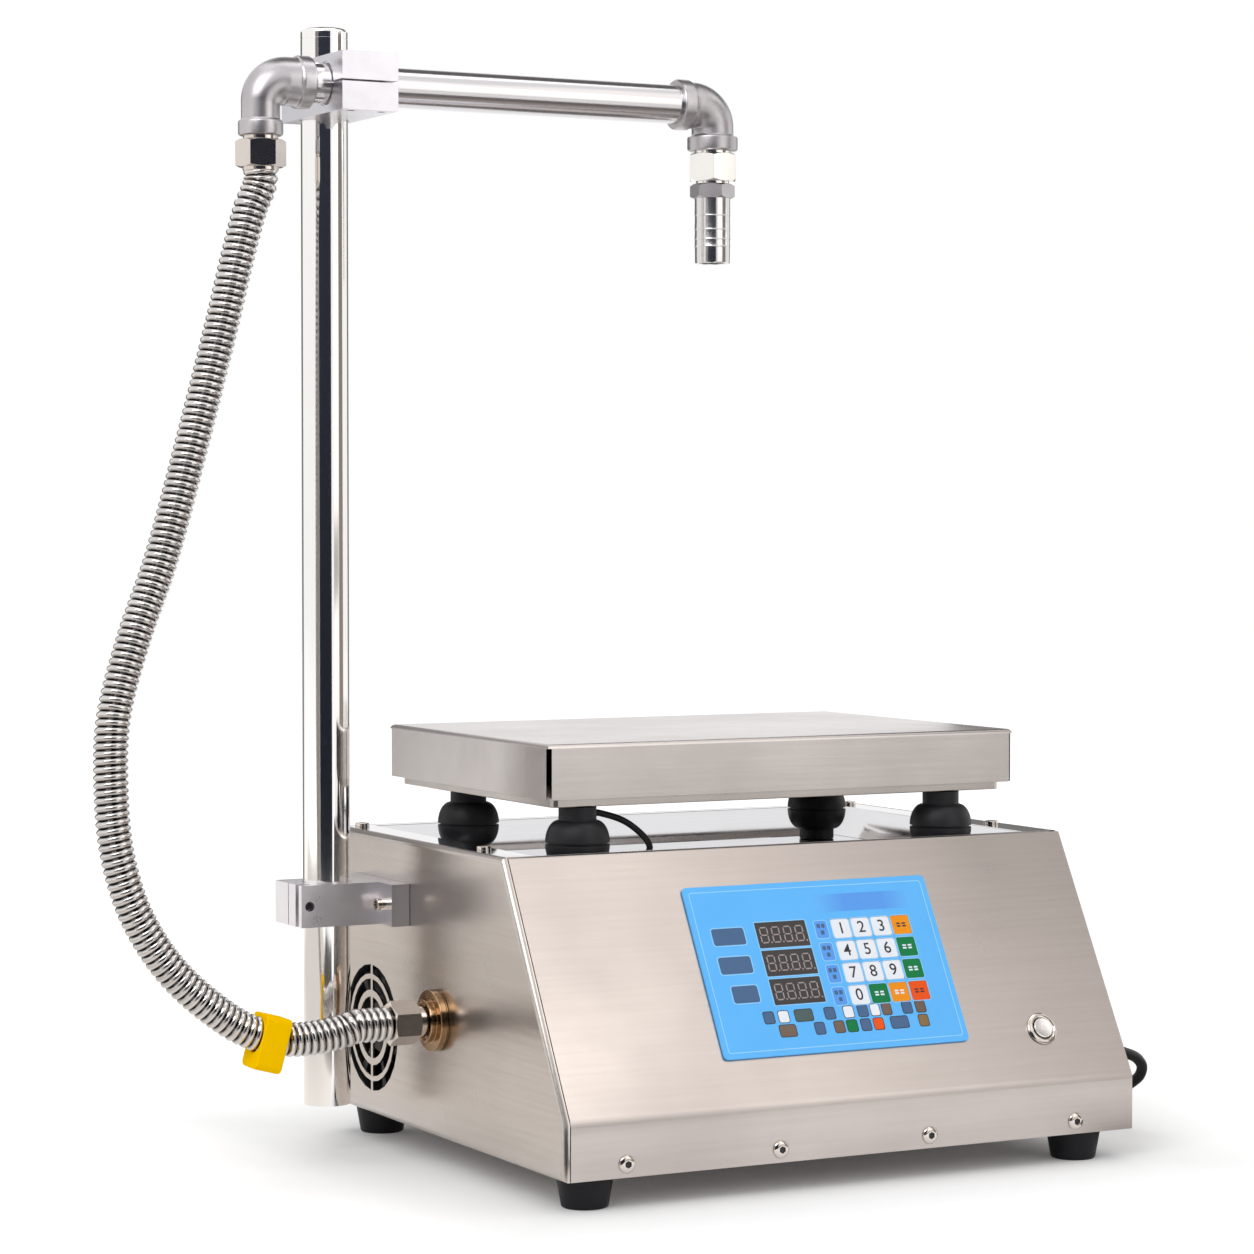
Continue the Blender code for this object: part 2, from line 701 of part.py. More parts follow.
def lobed_ring(lobes, lobe_share, root, reach, height, turn):
    """Points round Z that step out to each lobe's tip and back."""
    points = []
    for i in range(lobes):
        middle = 2 * math.pi * i / lobes + turn
        half = math.pi * lobe_share / lobes
        for offset, radius in ((-half, root), (-half, reach), (half, reach), (half, root)):
            angle = middle + offset
            points.append(Vector((radius * math.cos(angle), radius * math.sin(angle), height)))
    return points


def hex_fitting(flats, length, bore, before=(), after=()):
    """The turned profile of a hexagon with chamfered ends, and other steps before and after it."""
    edge = flats / 2 - NUT_CHAMFER / 3
    corner = flats / math.sqrt(3)
    outside = [
        (edge, 0, flats),
        (corner, NUT_CHAMFER, flats),
        (corner, length - NUT_CHAMFER, flats),
        (edge, length, flats),
    ]
    steps = [*before, *outside, *after]
    return [*steps, (bore, steps[-1][1]), (bore, steps[0][1])]


def make_cabinet(frame):
    """Base tray, two side panels, front panel, top plate and rear panel."""
    side = ((0, 0), (CABINET_DEPTH, 0), (CABINET_DEPTH, CABINET_HEIGHT), (SLOPE_RUN, CABINET_HEIGHT),
            (0, LIP_HEIGHT))
    left_mesh = pan("left_side_panel", side, SIDE_RETURN, SHEET)
    left = place("left_side_panel", left_mesh, STEEL, frame, rotation=SIDE_OUTLINE)
    # The front panel laps over the right side's front edge
    inside = SHEET + SEAM
    run = inside / math.sin(SLOPE_ANGLE)
    fall = (run - inside) * math.tan(SLOPE_ANGLE)
    lapped = ((inside, 0), (CABINET_DEPTH, 0), (CABINET_DEPTH, CABINET_HEIGHT), (SLOPE_RUN + run, CABINET_HEIGHT),
              (inside, LIP_HEIGHT - fall))
    right_mesh = pan("right_side_panel", lapped, -SIDE_RETURN, SHEET)
    right_at = (CABINET_WIDTH, 0, 0)
    right = place("right_side_panel", right_mesh, STEEL, frame, right_at, SIDE_OUTLINE)
    up_slope = Vector((math.cos(SLOPE_ANGLE), math.sin(SLOPE_ANGLE))) * SHEET
    lap_path = ((0, -OVERRUN), (0, LIP_HEIGHT), (SLOPE_RUN + up_slope.x, CABINET_HEIGHT + up_slope.y))
    lap = prism("lap", thickened(lap_path, inside + 2 * SHEET), -SIDE_RETURN - OVERRUN, -SHEET)
    cut(right, "right_side_lap", lap, right_at, SIDE_OUTLINE)
    cut_side_holes(left, right)

    tray = rectangle(inside, inside, CABINET_WIDTH - inside, CABINET_DEPTH - inside)
    tray_mesh = pan("base_tray", tray, TRAY_WALL, SHEET)
    place("base_tray", tray_mesh, STEEL, frame, (0, 0, inside))

    front_path = ((0, 0), (0, LIP_HEIGHT), (SLOPE_RUN, CABINET_HEIGHT), (SLOPE_RUN + TOP_FOLD, CABINET_HEIGHT))
    front_mesh = prism("front_panel", thickened(front_path, SHEET), PANEL_LEFT, PANEL_RIGHT)
    front = place("front_panel", front_mesh, STEEL, frame, rotation=SIDE_OUTLINE)
    edge_mesh = prism("front_right_edge", thickened(front_path[:3], SHEET), PANEL_RIGHT - SHEET, CABINET_WIDTH)
    join(front, "front_right_edge", edge_mesh, rotation=SIDE_OUTLINE)

    rear_path = ((CABINET_DEPTH - TOP_FOLD, CABINET_HEIGHT), (CABINET_DEPTH, CABINET_HEIGHT), (CABINET_DEPTH, 0))
    rear_mesh = prism("rear_panel", thickened(rear_path, SHEET), PANEL_LEFT, PANEL_RIGHT)
    rear = place("rear_panel", rear_mesh, STEEL, frame, rotation=SIDE_OUTLINE)
    inlet_hole = hole(INLET_RADIUS + SEAT, -SHEET - OVERRUN, OVERRUN)
    cut(rear, "inlet_hole", inlet_hole, (PUMP_X, CABINET_DEPTH, OUTLET_Z), ALONG_PLUS_Y)
    make_top_plate(frame)


def make_top_plate(frame):
    """A plate level with the panels' edges, with a well in it for the scale's bumpers."""
    front = SLOPE_RUN + TOP_FOLD + SEAM
    back = CABINET_DEPTH - TOP_FOLD - SEAM
    rim = rectangle(PANEL_LEFT, front, PANEL_RIGHT, back)
    well_right = CABINET_WIDTH - WELL_SIDE_INSET
    well = rectangle(WELL_SIDE_INSET, front + WELL_FRONT_LIP, well_right, back - WELL_REAR_LIP)
    below = inset(well, -SHEET)
    steps = (
        (below, WELL_FLOOR - SHEET),
        (below, CABINET_HEIGHT - SHEET),
        (rim, CABINET_HEIGHT - SHEET),
        (rim, CABINET_HEIGHT),
        (well, CABINET_HEIGHT),
        (well, WELL_FLOOR),
    )
    mesh = loft("top_plate", [[Vector((x, y, z)) for x, y in shape] for shape, z in steps])
    plate = place("top_plate", mesh, STEEL, frame)
    cable_hole = hole(SCALE_CABLE_HOLE_RADIUS, -SHEET - OVERRUN, OVERRUN)
    cut(plate, "scale_cable_hole", cable_hole, (SCALE_CABLE_END.x, SCALE_CABLE_END.y, WELL_FLOOR))


def grille_slot(inner, outer, quarter):
    """The outline of one slot of the grille, a quarter ring between straight spokes."""
    outline = []
    for radius, forward in ((outer, True), (inner, False)):
        margin = math.asin(GRILLE_SPOKE / 2 / radius)
        sweep = math.pi / 2 - 2 * margin
        steps = range(GRILLE_ARC_STEPS + 1)
        for i in steps if forward else reversed(steps):
            angle = quarter * math.pi / 2 + margin + sweep * i / GRILLE_ARC_STEPS
            outline.append((radius * math.cos(angle), radius * math.sin(angle)))
    return outline


def cut_side_holes(left, right):
    """The outlet's hole and the fan's grille in the left side, and the gland's hole in the right."""
    outlet_hole = hole(OUTLET_SPIGOT_RADIUS + SEAT, -OVERRUN, SHEET + OVERRUN)
    cut(left, "outlet_hole", outlet_hole, (0, OUTLET_Y, OUTLET_Z), ALONG_PLUS_X)
    for ring_number, (inner, outer) in enumerate(GRILLE_RINGS):
        for quarter in range(4):
            outline = grille_slot(inner, outer, quarter)
            slot = prism("slot", outline, -OVERRUN, SHEET + OVERRUN)
            cut(left, f"slot_{ring_number}_{quarter}", slot, (0, FAN_Y, FAN_Z), SIDE_OUTLINE)
    gland_hole = hole(GLAND_THREAD_RADIUS + SEAT, -SHEET - OVERRUN, OVERRUN)
    cut(right, "gland_hole", gland_hole, (CABINET_WIDTH, GLAND_Y, GLAND_Z), ALONG_PLUS_X)


def make_feet(frame):
    """Four rubber feet under the base tray."""
    profile = (
        (FOOT_BOTTOM_RADIUS - FOOT_CHAMFER, 0),
        (FOOT_BOTTOM_RADIUS, FOOT_CHAMFER),
        (FOOT_TOP_RADIUS, FOOT_HEIGHT),
    )
    for side, x in (("left", FOOT_INSET_LEFT), ("right", CABINET_WIDTH - FOOT_INSET_RIGHT)):
        for end, y in (("front", FOOT_INSET_Y), ("rear", CABINET_DEPTH - FOOT_INSET_Y)):
            name = f"foot_{end}_{side}"
            place(name, turned(name, profile), RUBBER, frame, (x, y, FLOOR_Z))


def make_outlet(frame):
    """The bulkhead fitting that leads the pump's outlet through the left side, and the hose's nut."""
    spigot_end = -(PUMP_X - PUMP_RADIUS + SHEET)
    profile = (
        (OUTLET_BORE_RADIUS, spigot_end),
        (OUTLET_SPIGOT_RADIUS, spigot_end),
        (OUTLET_SPIGOT_RADIUS, SEAT),
        (OUTLET_BACK_DISC[0], SEAT),
        OUTLET_BACK_DISC,
        (OUTLET_GROOVE[0], OUTLET_BACK_DISC[1]),
        (OUTLET_GROOVE[0], OUTLET_BACK_DISC[1] + OUTLET_GROOVE[1]),
        (OUTLET_FRONT_DISC[0], OUTLET_BACK_DISC[1] + OUTLET_GROOVE[1]),
        OUTLET_FRONT_DISC,
        (OUTLET_BOSS[0], OUTLET_FRONT_DISC[1]),
        OUTLET_BOSS,
        (OUTLET_BORE_RADIUS, OUTLET_BOSS[1]),
    )
    outlet_at = (0, OUTLET_Y, OUTLET_Z)
    mesh = turned("outlet_flange", profile, closed=True)
    place("outlet_flange", mesh, BRASS, frame, outlet_at, ALONG_MINUS_X)

    neck = ((LOWER_NUT_NECK_RADIUS, -LOWER_NUT_NECK_LENGTH), (LOWER_NUT_NECK_RADIUS, 0))
    nut = hex_fitting(LOWER_NUT_FLATS, LOWER_NUT_LENGTH, NUT_BORE_RADIUS, before=neck)
    mesh = turned("lower_hose_nut", nut, HEX_SIDES, closed=True, turn=math.pi / 6)
    nut_at = (-OUTLET_FACE - LOWER_NUT_NECK_LENGTH, OUTLET_Y, OUTLET_Z)
    place("lower_hose_nut", mesh, POLISHED_STEEL, frame, nut_at, ALONG_MINUS_X)


def make_hose(frame):
    """The ribbed metal hose, and the plastic clip that sits on it."""
    straight = 2 * HOSE_RADIUS
    start_run = HOSE_START + Vector((-straight, 0, 0))
    end_run = HOSE_END - Vector((0, 0, straight))
    rise = HOSE_END.z - OUTLET_Z
    route = [Vector((x, OUTLET_Y + behind, OUTLET_Z + share * rise)) for x, behind, share in HOSE_ROUTE]
    middle = smooth_route((start_run, *route, end_run), (-1, 0, 0), (0, 0, 1), HOSE_RIB_PITCH / 2)
    fine = [HOSE_START, *middle, HOSE_END]
    length = sum((there - here).length for here, there in pairwise(fine))
    ribs = round(length / HOSE_RIB_PITCH)
    points = evenly(fine, HOSE_RIB_PITCH, 2 * ribs)
    shares = [1 if i % 2 else HOSE_ROOT_SHARE for i in range(len(points))]
    hose = curve_mesh(tube_curve("hose", points, HOSE_RADIUS, 2, shares))
    piece = place("hose", hose, POLISHED_STEEL, frame)
    before = points[0] * 2 - points[1]
    after = points[-1] * 2 - points[-2]
    bore_points = [before, *points[::6], after] if (len(points) - 1) % 6 else [before, *points[6:-6:6], after]
    cut(piece, "hose_bore", curve_mesh(tube_curve("hose_bore", bore_points, HOSE_BORE_RADIUS, 2)))
    print("hose: length", round(length, 4), "m, ribs", ribs)

    index = round(HOSE_CLIP_ALONG / length * 2 * ribs)
    way = (points[index + 2] - points[index - 2]).normalized()
    outside = rounded_rectangle(HOSE_CLIP_HEIGHT, HOSE_CLIP_WIDTH, HOSE_CLIP_CORNER)
    outside = divided(outside, HOSE_CLIP_CORNER / 2)
    clearance = HOSE_RADIUS + HOSE_CLIP_CLEARANCE
    bore = [(clearance * x / math.hypot(x, y), clearance * y / math.hypot(x, y)) for x, y in outside]
    half = HOSE_CLIP_LENGTH / 2
    steps = ((outside, -half), (outside, half), (bore, half), (bore, -half))
    mesh = loft("hose_clip", [[Vector((x, y, z)) for x, y in shape] for shape, z in steps], closed=True, smooth=True)
    clip = place("hose_clip", mesh, YELLOW_PLASTIC, frame, points[index])
    clip.rotation_euler = way.to_track_quat("Z", "Y").to_euler()


def make_bracket(frame):
    """The aluminium bracket on the left side, which clamps the mast."""
    plate_front = MAST_Y - BRACKET_PLATE_WIDTH / 2
    plate_rear = MAST_Y + BRACKET_PLATE_WIDTH / 2
    block_front = MAST_Y - BRACKET_BLOCK_WIDTH / 2
    block_rear = MAST_Y + BRACKET_BLOCK_WIDTH / 2
    face = -SEAT - BRACKET_PLATE_THICKNESS
    outline = ((-SEAT, plate_front), (-SEAT, plate_rear), (face, plate_rear), (face, block_rear),
               (BRACKET_END, block_rear), (BRACKET_END, block_front), (face, block_front), (face, plate_front))
    half = BRACKET_HEIGHT / 2
    mesh = prism("mast_bracket", outline, -half, half)
    bracket = place("mast_bracket", mesh, ALUMINIUM, frame, (0, 0, BRACKET_Z))
    low = -half - OVERRUN
    high = half + OVERRUN
    cut(bracket, "bracket_bore", hole(MAST_RADIUS + SEAT, low, high, ROUND_SIDES), (MAST_X, MAST_Y, BRACKET_Z))
    slit = box("slit", (BRACKET_END - OVERRUN, MAST_Y - BRACKET_SLIT / 2, low), (MAST_X, MAST_Y + BRACKET_SLIT / 2, high))
    cut(bracket, "bracket_slit", slit, (0, 0, BRACKET_Z))
    relief_front = block_front + BRACKET_RELIEF_WALL
    relief = box("relief", (BRACKET_END - OVERRUN, relief_front, low),
                 (BRACKET_END + BRACKET_RELIEF_DEPTH, relief_front + BRACKET_RELIEF_WIDTH, high))
    cut(bracket, "bracket_relief", relief, (0, 0, BRACKET_Z))
    bolt = hole(BRACKET_BOLT_RADIUS, -OVERRUN, BRACKET_BLOCK_WIDTH + OVERRUN, BORE_SIDES)
    bolt_at = (BRACKET_END + BRACKET_BOLT_INSET, block_front, BRACKET_Z)
    cut(bracket, "bracket_bolt_hole", bolt, bolt_at, ALONG_PLUS_Y)


def make_mast(frame):
    """The mast tube, closed at its top, and the clamp that crosses it with the arm."""
    axis = empty("mast_axis", frame, (MAST_X, MAST_Y, 0))
    bore = MAST_RADIUS - MAST_WALL
    profile = (
        (0, MAST_TOP - MAST_WALL),
        (bore - MAST_TOP_ROUNDING, MAST_TOP - MAST_WALL),
        (bore, MAST_TOP - MAST_WALL - MAST_TOP_ROUNDING),
        (bore, MAST_BOTTOM),
        (MAST_RADIUS, MAST_BOTTOM),
        (MAST_RADIUS, MAST_TOP - MAST_TOP_ROUNDING),
        (MAST_RADIUS - MAST_TOP_ROUNDING / 2, MAST_TOP - MAST_TOP_ROUNDING / 4),
        (MAST_RADIUS - MAST_TOP_ROUNDING, MAST_TOP),
        (0, MAST_TOP),
    )
    place("mast_tube", turned("mast_tube", profile), POLISHED_STEEL, axis)

    half_width = CLAMP_WIDTH / 2
    half_height = CLAMP_HEIGHT / 2
    front = CLAMP_FRONT - MAST_Y
    rear = CLAMP_REAR - MAST_Y
    mesh = box("cross_clamp", (-half_width, front, -half_height), (half_width, rear, half_height))
    clamp = place("cross_clamp", mesh, ALUMINIUM, axis, (0, 0, ARM_Z))
    low = -half_height - OVERRUN
    high = half_height + OVERRUN
    cut(clamp, "clamp_mast_bore", hole(MAST_RADIUS + SEAT, low, high, ROUND_SIDES), (0, 0, ARM_Z))
    arm_at = (-half_width, ARM_Y - MAST_Y, ARM_Z)
    arm_bore = hole(ARM_RADIUS + SEAT, -OVERRUN, CLAMP_WIDTH + OVERRUN, ROUND_SIDES)
    cut(clamp, "clamp_arm_bore", arm_bore, arm_at, ALONG_PLUS_X)
    arm_slit = box("slit", (-half_width - OVERRUN, front - OVERRUN, -CLAMP_SLIT / 2),
                   (half_width + OVERRUN, ARM_Y - MAST_Y, CLAMP_SLIT / 2))
    cut(clamp, "clamp_arm_slit", arm_slit, (0, 0, ARM_Z))
    mast_slit = box("slit", (-CLAMP_SLIT / 2, 0, low), (CLAMP_SLIT / 2, rear + OVERRUN, high))
    cut(clamp, "clamp_mast_slit", mast_slit, (0, 0, ARM_Z))
    for side in (-1, 1):
        bolt_at = (side * CLAMP_BOLT_SPACING / 2, front + CLAMP_BOLT_INSET, ARM_Z)
        bolt = hole(CLAMP_BOLT_RADIUS, low, high - CLAMP_HEIGHT / 2, BORE_SIDES)
        cut(clamp, f"clamp_bolt_{side}", bolt, bolt_at)


def elbow_mesh(name, mouth, drop, leg_band, leg_body, leg_bore):
    """A cast elbow: a level leg along +X that takes the arm tube, and a leg straight down."""
    arc = ELBOW_BEND_RADIUS
    quarter = arc * math.pi / 2
    first = mouth - arc
    total = first + quarter + drop - arc

    def section(along, radius):
        if along <= first:
            centre = Vector((mouth - along, 0, 0))
            across = Vector((0, 0, 1))
        elif along >= first + quarter:
            centre = Vector((0, 0, -(arc + along - first - quarter)))
            across = Vector((-1, 0, 0))
        else:
            angle = (along - first) / arc
            across = Vector((-math.sin(angle), 0, math.cos(angle)))
            centre = Vector((arc, 0, -arc)) + across * arc
        sides = SMALL_SIDES
        angles = [2 * math.pi * i / sides for i in range(sides)]
        return [centre + across * (radius * math.cos(a)) + Vector((0, radius * math.sin(a), 0)) for a in angles]

    band = ELBOW_BAND_WIDTH
    bead = ELBOW_BEAD
    outside = [
        (0, ELBOW_BAND_RADIUS - bead),
        (bead, ELBOW_BAND_RADIUS),
        (band - bead, ELBOW_BAND_RADIUS),
        (band + bead, ELBOW_BODY_RADIUS),
    ]
    for i in range(BEND_STEPS + 1):
        share = i / BEND_STEPS
        radius = ELBOW_BODY_RADIUS + (leg_body - ELBOW_BODY_RADIUS) * share
        outside.append((first + quarter * share, radius))
    outside += [
        (total - band - bead, leg_body),
        (total - band + bead, leg_band),
        (total - bead, leg_band),
        (total, leg_band - bead),
    ]
    socket = ARM_RADIUS + SEAT * 1.1
    inside = [(total, leg_bore)]
    for i in reversed(range(BEND_STEPS // 2 + 1)):
        inside.append((first + quarter * i * 2 / BEND_STEPS, leg_bore))
    inside += [(ARM_INSERTION + SEAT, leg_bore), (ARM_INSERTION + SEAT, socket), (0, socket)]
    return loft(name, [section(*step) for step in outside + inside], closed=True, smooth=True)


def make_arm(frame):
    """The arm tube, its two elbows, the hose's upper nut and the nozzle."""
    axis = empty("arm_axis", frame, (MAST_X, ARM_Y, ARM_Z))
    left = LEFT_LEG_X - MAST_X
    right = RIGHT_LEG_X - MAST_X
    start = left + LEFT_ELBOW_REACH - ARM_INSERTION
    end = right - RIGHT_ELBOW_REACH + ARM_INSERTION
    bore = ARM_RADIUS - ARM_WALL
    profile = ((bore, start), (ARM_RADIUS, start), (ARM_RADIUS, end), (bore, end))
    place("arm_tube", turned("arm_tube", profile, closed=True), POLISHED_STEEL, axis, rotation=ALONG_PLUS_X)

    mesh = elbow_mesh("left_elbow", LEFT_ELBOW_REACH, LEFT_ELBOW_DROP, LEFT_LEG_BAND_RADIUS, LEFT_LEG_BODY_RADIUS,
                      LEFT_LEG_BORE_RADIUS)
    place("left_elbow", mesh, CAST_STEEL, axis, (left, 0, 0))
    mesh = elbow_mesh("right_elbow", RIGHT_ELBOW_REACH, RIGHT_ELBOW_DROP, RIGHT_LEG_BAND_RADIUS,
                      RIGHT_LEG_BODY_RADIUS, RIGHT_LEG_BORE_RADIUS)
    place("right_elbow", mesh, CAST_STEEL, axis, (right, 0, 0), (0, 0, math.pi))

    spigot = LEFT_LEG_BORE_RADIUS - SEAT * 1.1
    neck = UPPER_NUT_LENGTH + UPPER_NUT_NECK_LENGTH
    after = (
        (UPPER_NUT_NECK_RADIUS, UPPER_NUT_LENGTH),
        (UPPER_NUT_NECK_RADIUS, neck),
        (spigot, neck),
        (spigot, neck + NIPPLE_SPIGOT_LENGTH),
    )
    nut = hex_fitting(UPPER_NUT_FLATS, UPPER_NUT_LENGTH, NUT_BORE_RADIUS, after=after)
    mesh = turned("upper_hose_nut", nut, HEX_SIDES, closed=True)
    nut_at = (left, 0, UPPER_NUT_TOP - UPPER_NUT_LENGTH - ARM_Z)
    place("upper_hose_nut", mesh, POLISHED_STEEL, axis, nut_at, (0, 0, UPPER_NUT_TURN))
    make_nozzle(axis, right)


def make_nozzle(axis, leg):
    """The hexagon nipple under the right elbow, and the ridged nozzle below it."""
    spigot = RIGHT_LEG_BORE_RADIUS - SEAT * 1.1
    neck = NIPPLE_LENGTH + NIPPLE_TOP_NECK[1]
    before = ((NIPPLE_BOTTOM_NECK[0], -NIPPLE_BOTTOM_NECK[1]), (NIPPLE_BOTTOM_NECK[0], 0))
    after = (
        (NIPPLE_TOP_NECK[0], NIPPLE_LENGTH),
        (NIPPLE_TOP_NECK[0], neck),
        (spigot, neck),
        (spigot, neck + NIPPLE_SPIGOT_LENGTH),
    )
    nipple = hex_fitting(NIPPLE_FLATS, NIPPLE_LENGTH, NIPPLE_BORE_RADIUS, before, after)
    mesh = turned("nozzle_nipple", nipple, HEX_SIDES, closed=True)
    nipple_at = (leg, 0, NIPPLE_TOP - NIPPLE_LENGTH - ARM_Z)
    place("nozzle_nipple", mesh, POLISHED_STEEL, axis, nipple_at, (0, 0, NIPPLE_TURN))

    barb = [(BARB_BORE_RADIUS, -BARB_LENGTH), (BARB_TIP_RADIUS, -BARB_LENGTH)]
    for share in BARB_RIDGE_SHARES:
        ridge = -BARB_LENGTH * (1 - share)
        barb += [(BARB_RIDGE_RADIUS, ridge), (BARB_RADIUS, ridge)]
    barb.append((BARB_RADIUS, 0))
    hexagon = hex_fitting(BARB_FLATS, BARB_HEX_LENGTH, BARB_BORE_RADIUS)
    mesh = turned("nozzle_barb", [*barb, *hexagon[:-1]], HEX_SIDES, closed=True)
    barb_at = (leg, 0, BARB_TOP - BARB_HEX_LENGTH - ARM_Z)
    place("nozzle_barb", mesh, STEEL, axis, barb_at, (0, 0, BARB_HEX_TURN))


def make_scale(frame):
    """Base on four bumpers, load cell, spider, platter and the scale's own cable."""
    centre = (PLATTER_X, PLATTER_Y)
    plate = rounded_rectangle(PLATTER_WIDTH, PLATTER_DEPTH, PLATTER_SHEET * 2, steps=2)
    mesh = pan("platter", plate, -PLATTER_SKIRT, PLATTER_SHEET)
    place("platter", mesh, STEEL, frame, (*centre, PLATTER_TOP))

    base = rounded_rectangle(PLATTER_WIDTH - 2 * BASE_INSET, PLATTER_DEPTH - 2 * BASE_INSET, BASE_SHEET * 2, steps=2)
    mesh = pan("scale_base", base, BASE_WALL, BASE_SHEET)
    place("scale_base", mesh, STEEL, frame, (*centre, BASE_BOTTOM))

    make_load_cell(frame)
    make_spider(frame)
    make_bumpers(frame)

    start_run = SCALE_CABLE_START - Vector((0, 0, SCALE_CABLE_RADIUS))
    route = (start_run, *(SCALE_CABLE_START + Vector(step) for step in SCALE_CABLE_ROUTE), SCALE_CABLE_END)
    points = smooth_route(route, (0, 0, -1), (0, 0, -1), SCALE_CABLE_RADIUS * 2)
    curve = tube_curve("scale_cable", [SCALE_CABLE_START, *points], SCALE_CABLE_RADIUS, 2)
    place("scale_cable", curve, BLACK_PLASTIC, frame)


def make_load_cell(frame):
    """A bar with a foot at one end, a head at the other and the bending eyes between."""
    half = CELL_LENGTH / 2
    pad = half - CELL_PAD_LENGTH
    top = CELL_FOOT_HEIGHT + CELL_HEIGHT
    head = top + CELL_HEAD_HEIGHT
    outline = ((-half, 0), (-pad, 0), (-pad, CELL_FOOT_HEIGHT), (half, CELL_FOOT_HEIGHT),
               (half, head), (pad, head), (pad, top), (-half, top))
    mesh = prism("load_cell", outline, -CELL_WIDTH / 2, CELL_WIDTH / 2)
    cell_at = (PLATTER_X, PLATTER_Y, CELL_BOTTOM)
    upright = (math.pi / 2, 0, 0)
    cell = place("load_cell", mesh, ALUMINIUM, frame, cell_at, upright)
    middle = CELL_FOOT_HEIGHT + CELL_HEIGHT / 2
    low = -CELL_WIDTH / 2 - OVERRUN
    high = CELL_WIDTH / 2 + OVERRUN
    for side in (-1, 1):
        eye_at = (PLATTER_X + side * CELL_EYE_SPACING / 2, PLATTER_Y, CELL_BOTTOM + middle)
        cut(cell, f"cell_eye_{side}", hole(CELL_EYE_RADIUS, low, high, BORE_SIDES), eye_at, upright)
    neck = rectangle(-CELL_EYE_SPACING / 2, middle - CELL_NECK / 2, CELL_EYE_SPACING / 2, middle + CELL_NECK / 2)
    cut(cell, "cell_neck", prism("neck", neck, low, high), cell_at, upright)


def make_spider(frame):
    """The bent carrier on the load cell's live end, whose two shelves hold the platter."""
    half = PLATTER_WIDTH / 2 - SPIDER_INSET
    depth = PLATTER_DEPTH / 2 - SPIDER_INSET
    rise = SPIDER_TOP - SPIDER_BOTTOM
    shelf = half - SPIDER_SHELF
    outline = ((-half, rise - SPIDER_SHEET), (-shelf - SPIDER_SHEET, rise - SPIDER_SHEET), (-shelf - SPIDER_SHEET, 0),
               (shelf + SPIDER_SHEET, 0), (shelf + SPIDER_SHEET, rise - SPIDER_SHEET), (half, rise - SPIDER_SHEET),
               (half, rise), (shelf, rise), (shelf, SPIDER_SHEET), (-shelf, SPIDER_SHEET), (-shelf, rise), (-half, rise))
    mesh = prism("platter_spider", outline, -depth, depth)
    place("platter_spider", mesh, STEEL, frame, (PLATTER_X, PLATTER_Y, SPIDER_BOTTOM), (math.pi / 2, 0, 0))


def make_bumpers(frame):
    """Four rubber bumpers: two domes between two necks, with a groove round the middle."""
    height = BASE_BOTTOM - WELL_FLOOR - 2 * SEAT
    dome = (height - BUMPER_LOWER_NECK - BUMPER_GROOVE - BUMPER_UPPER_NECK) / 2
    profile = [(BUMPER_NECK_RADIUS, 0)]
    steps = DOME_STEPS
    spread = BUMPER_RADIUS - BUMPER_NECK_RADIUS
    for i in range(steps + 1):
        angle = math.pi / 2 * i / steps
        profile.append((BUMPER_NECK_RADIUS + spread * math.sin(angle), BUMPER_LOWER_NECK + dome * (1 - math.cos(angle))))
    groove = BUMPER_LOWER_NECK + dome
    profile += [
        (BUMPER_RADIUS - BUMPER_GROOVE_DEPTH, groove),
        (BUMPER_RADIUS - BUMPER_GROOVE_DEPTH, groove + BUMPER_GROOVE),
    ]
    for i in range(steps + 1):
        angle = math.pi / 2 * i / steps
        profile.append((BUMPER_NECK_RADIUS + spread * math.cos(angle), groove + BUMPER_GROOVE + dome * math.sin(angle)))
    profile.append((BUMPER_NECK_RADIUS, height))
    for side, x in (("left", BUMPER_LEFT_INSET), ("right", CABINET_WIDTH - BUMPER_RIGHT_INSET)):
        for end, y in (("front", BUMPER_FRONT_Y), ("rear", BUMPER_REAR_Y)):
            name = f"bumper_{end}_{side}"
            at = (x, y, WELL_FLOOR + SEAT)
            place(name, turned(name, profile, SMALL_SIDES), RUBBER, frame, at)


def make_keypad(slope):
    """The keypad's overlay and its keys, which sink a little when they are pressed."""
    outline = rounded_rectangle(KEYPAD_WIDTH, KEYPAD_HEIGHT, KEYPAD_CORNER)
    mesh = prism("keypad_overlay", outline, 0, KEYPAD_THICKNESS)
    overlay_at = (KEYPAD_X + KEYPAD_WIDTH / 2, KEYPAD_UP_SLOPE + KEYPAD_HEIGHT / 2, SEAT)
    overlay = place("keypad_overlay", mesh, KEYPAD_BLUE, slope, overlay_at)
    key_height = SEAT + KEYPAD_THICKNESS - KEY_THICKNESS
    for row, names in enumerate(KEY_NAMES):
        for column, name in enumerate(names):
            x = KEYPAD_X + KEY_FIRST_IN_KEYPAD[0] + column * KEY_PITCH_X
            y = KEYPAD_UP_SLOPE + KEY_FIRST_IN_KEYPAD[1] - row * KEY_PITCH_Y
            width = KEY_WIDTH / 2 + SEAT
            height = KEY_HEIGHT / 2 + SEAT
            pocket = box("pocket", (-width, -height, -OVERRUN), (width, height, KEYPAD_THICKNESS + OVERRUN))
            cut(overlay, f"pocket_{name}", pocket, (x, y, SEAT))
            key = prism(name, rounded_rectangle(KEY_WIDTH, KEY_HEIGHT, KEY_CORNER), 0, KEY_THICKNESS)
            place(name, key, KEY_COLOURS.get(name, KEY_WHITE), slope, (x, y, key_height))


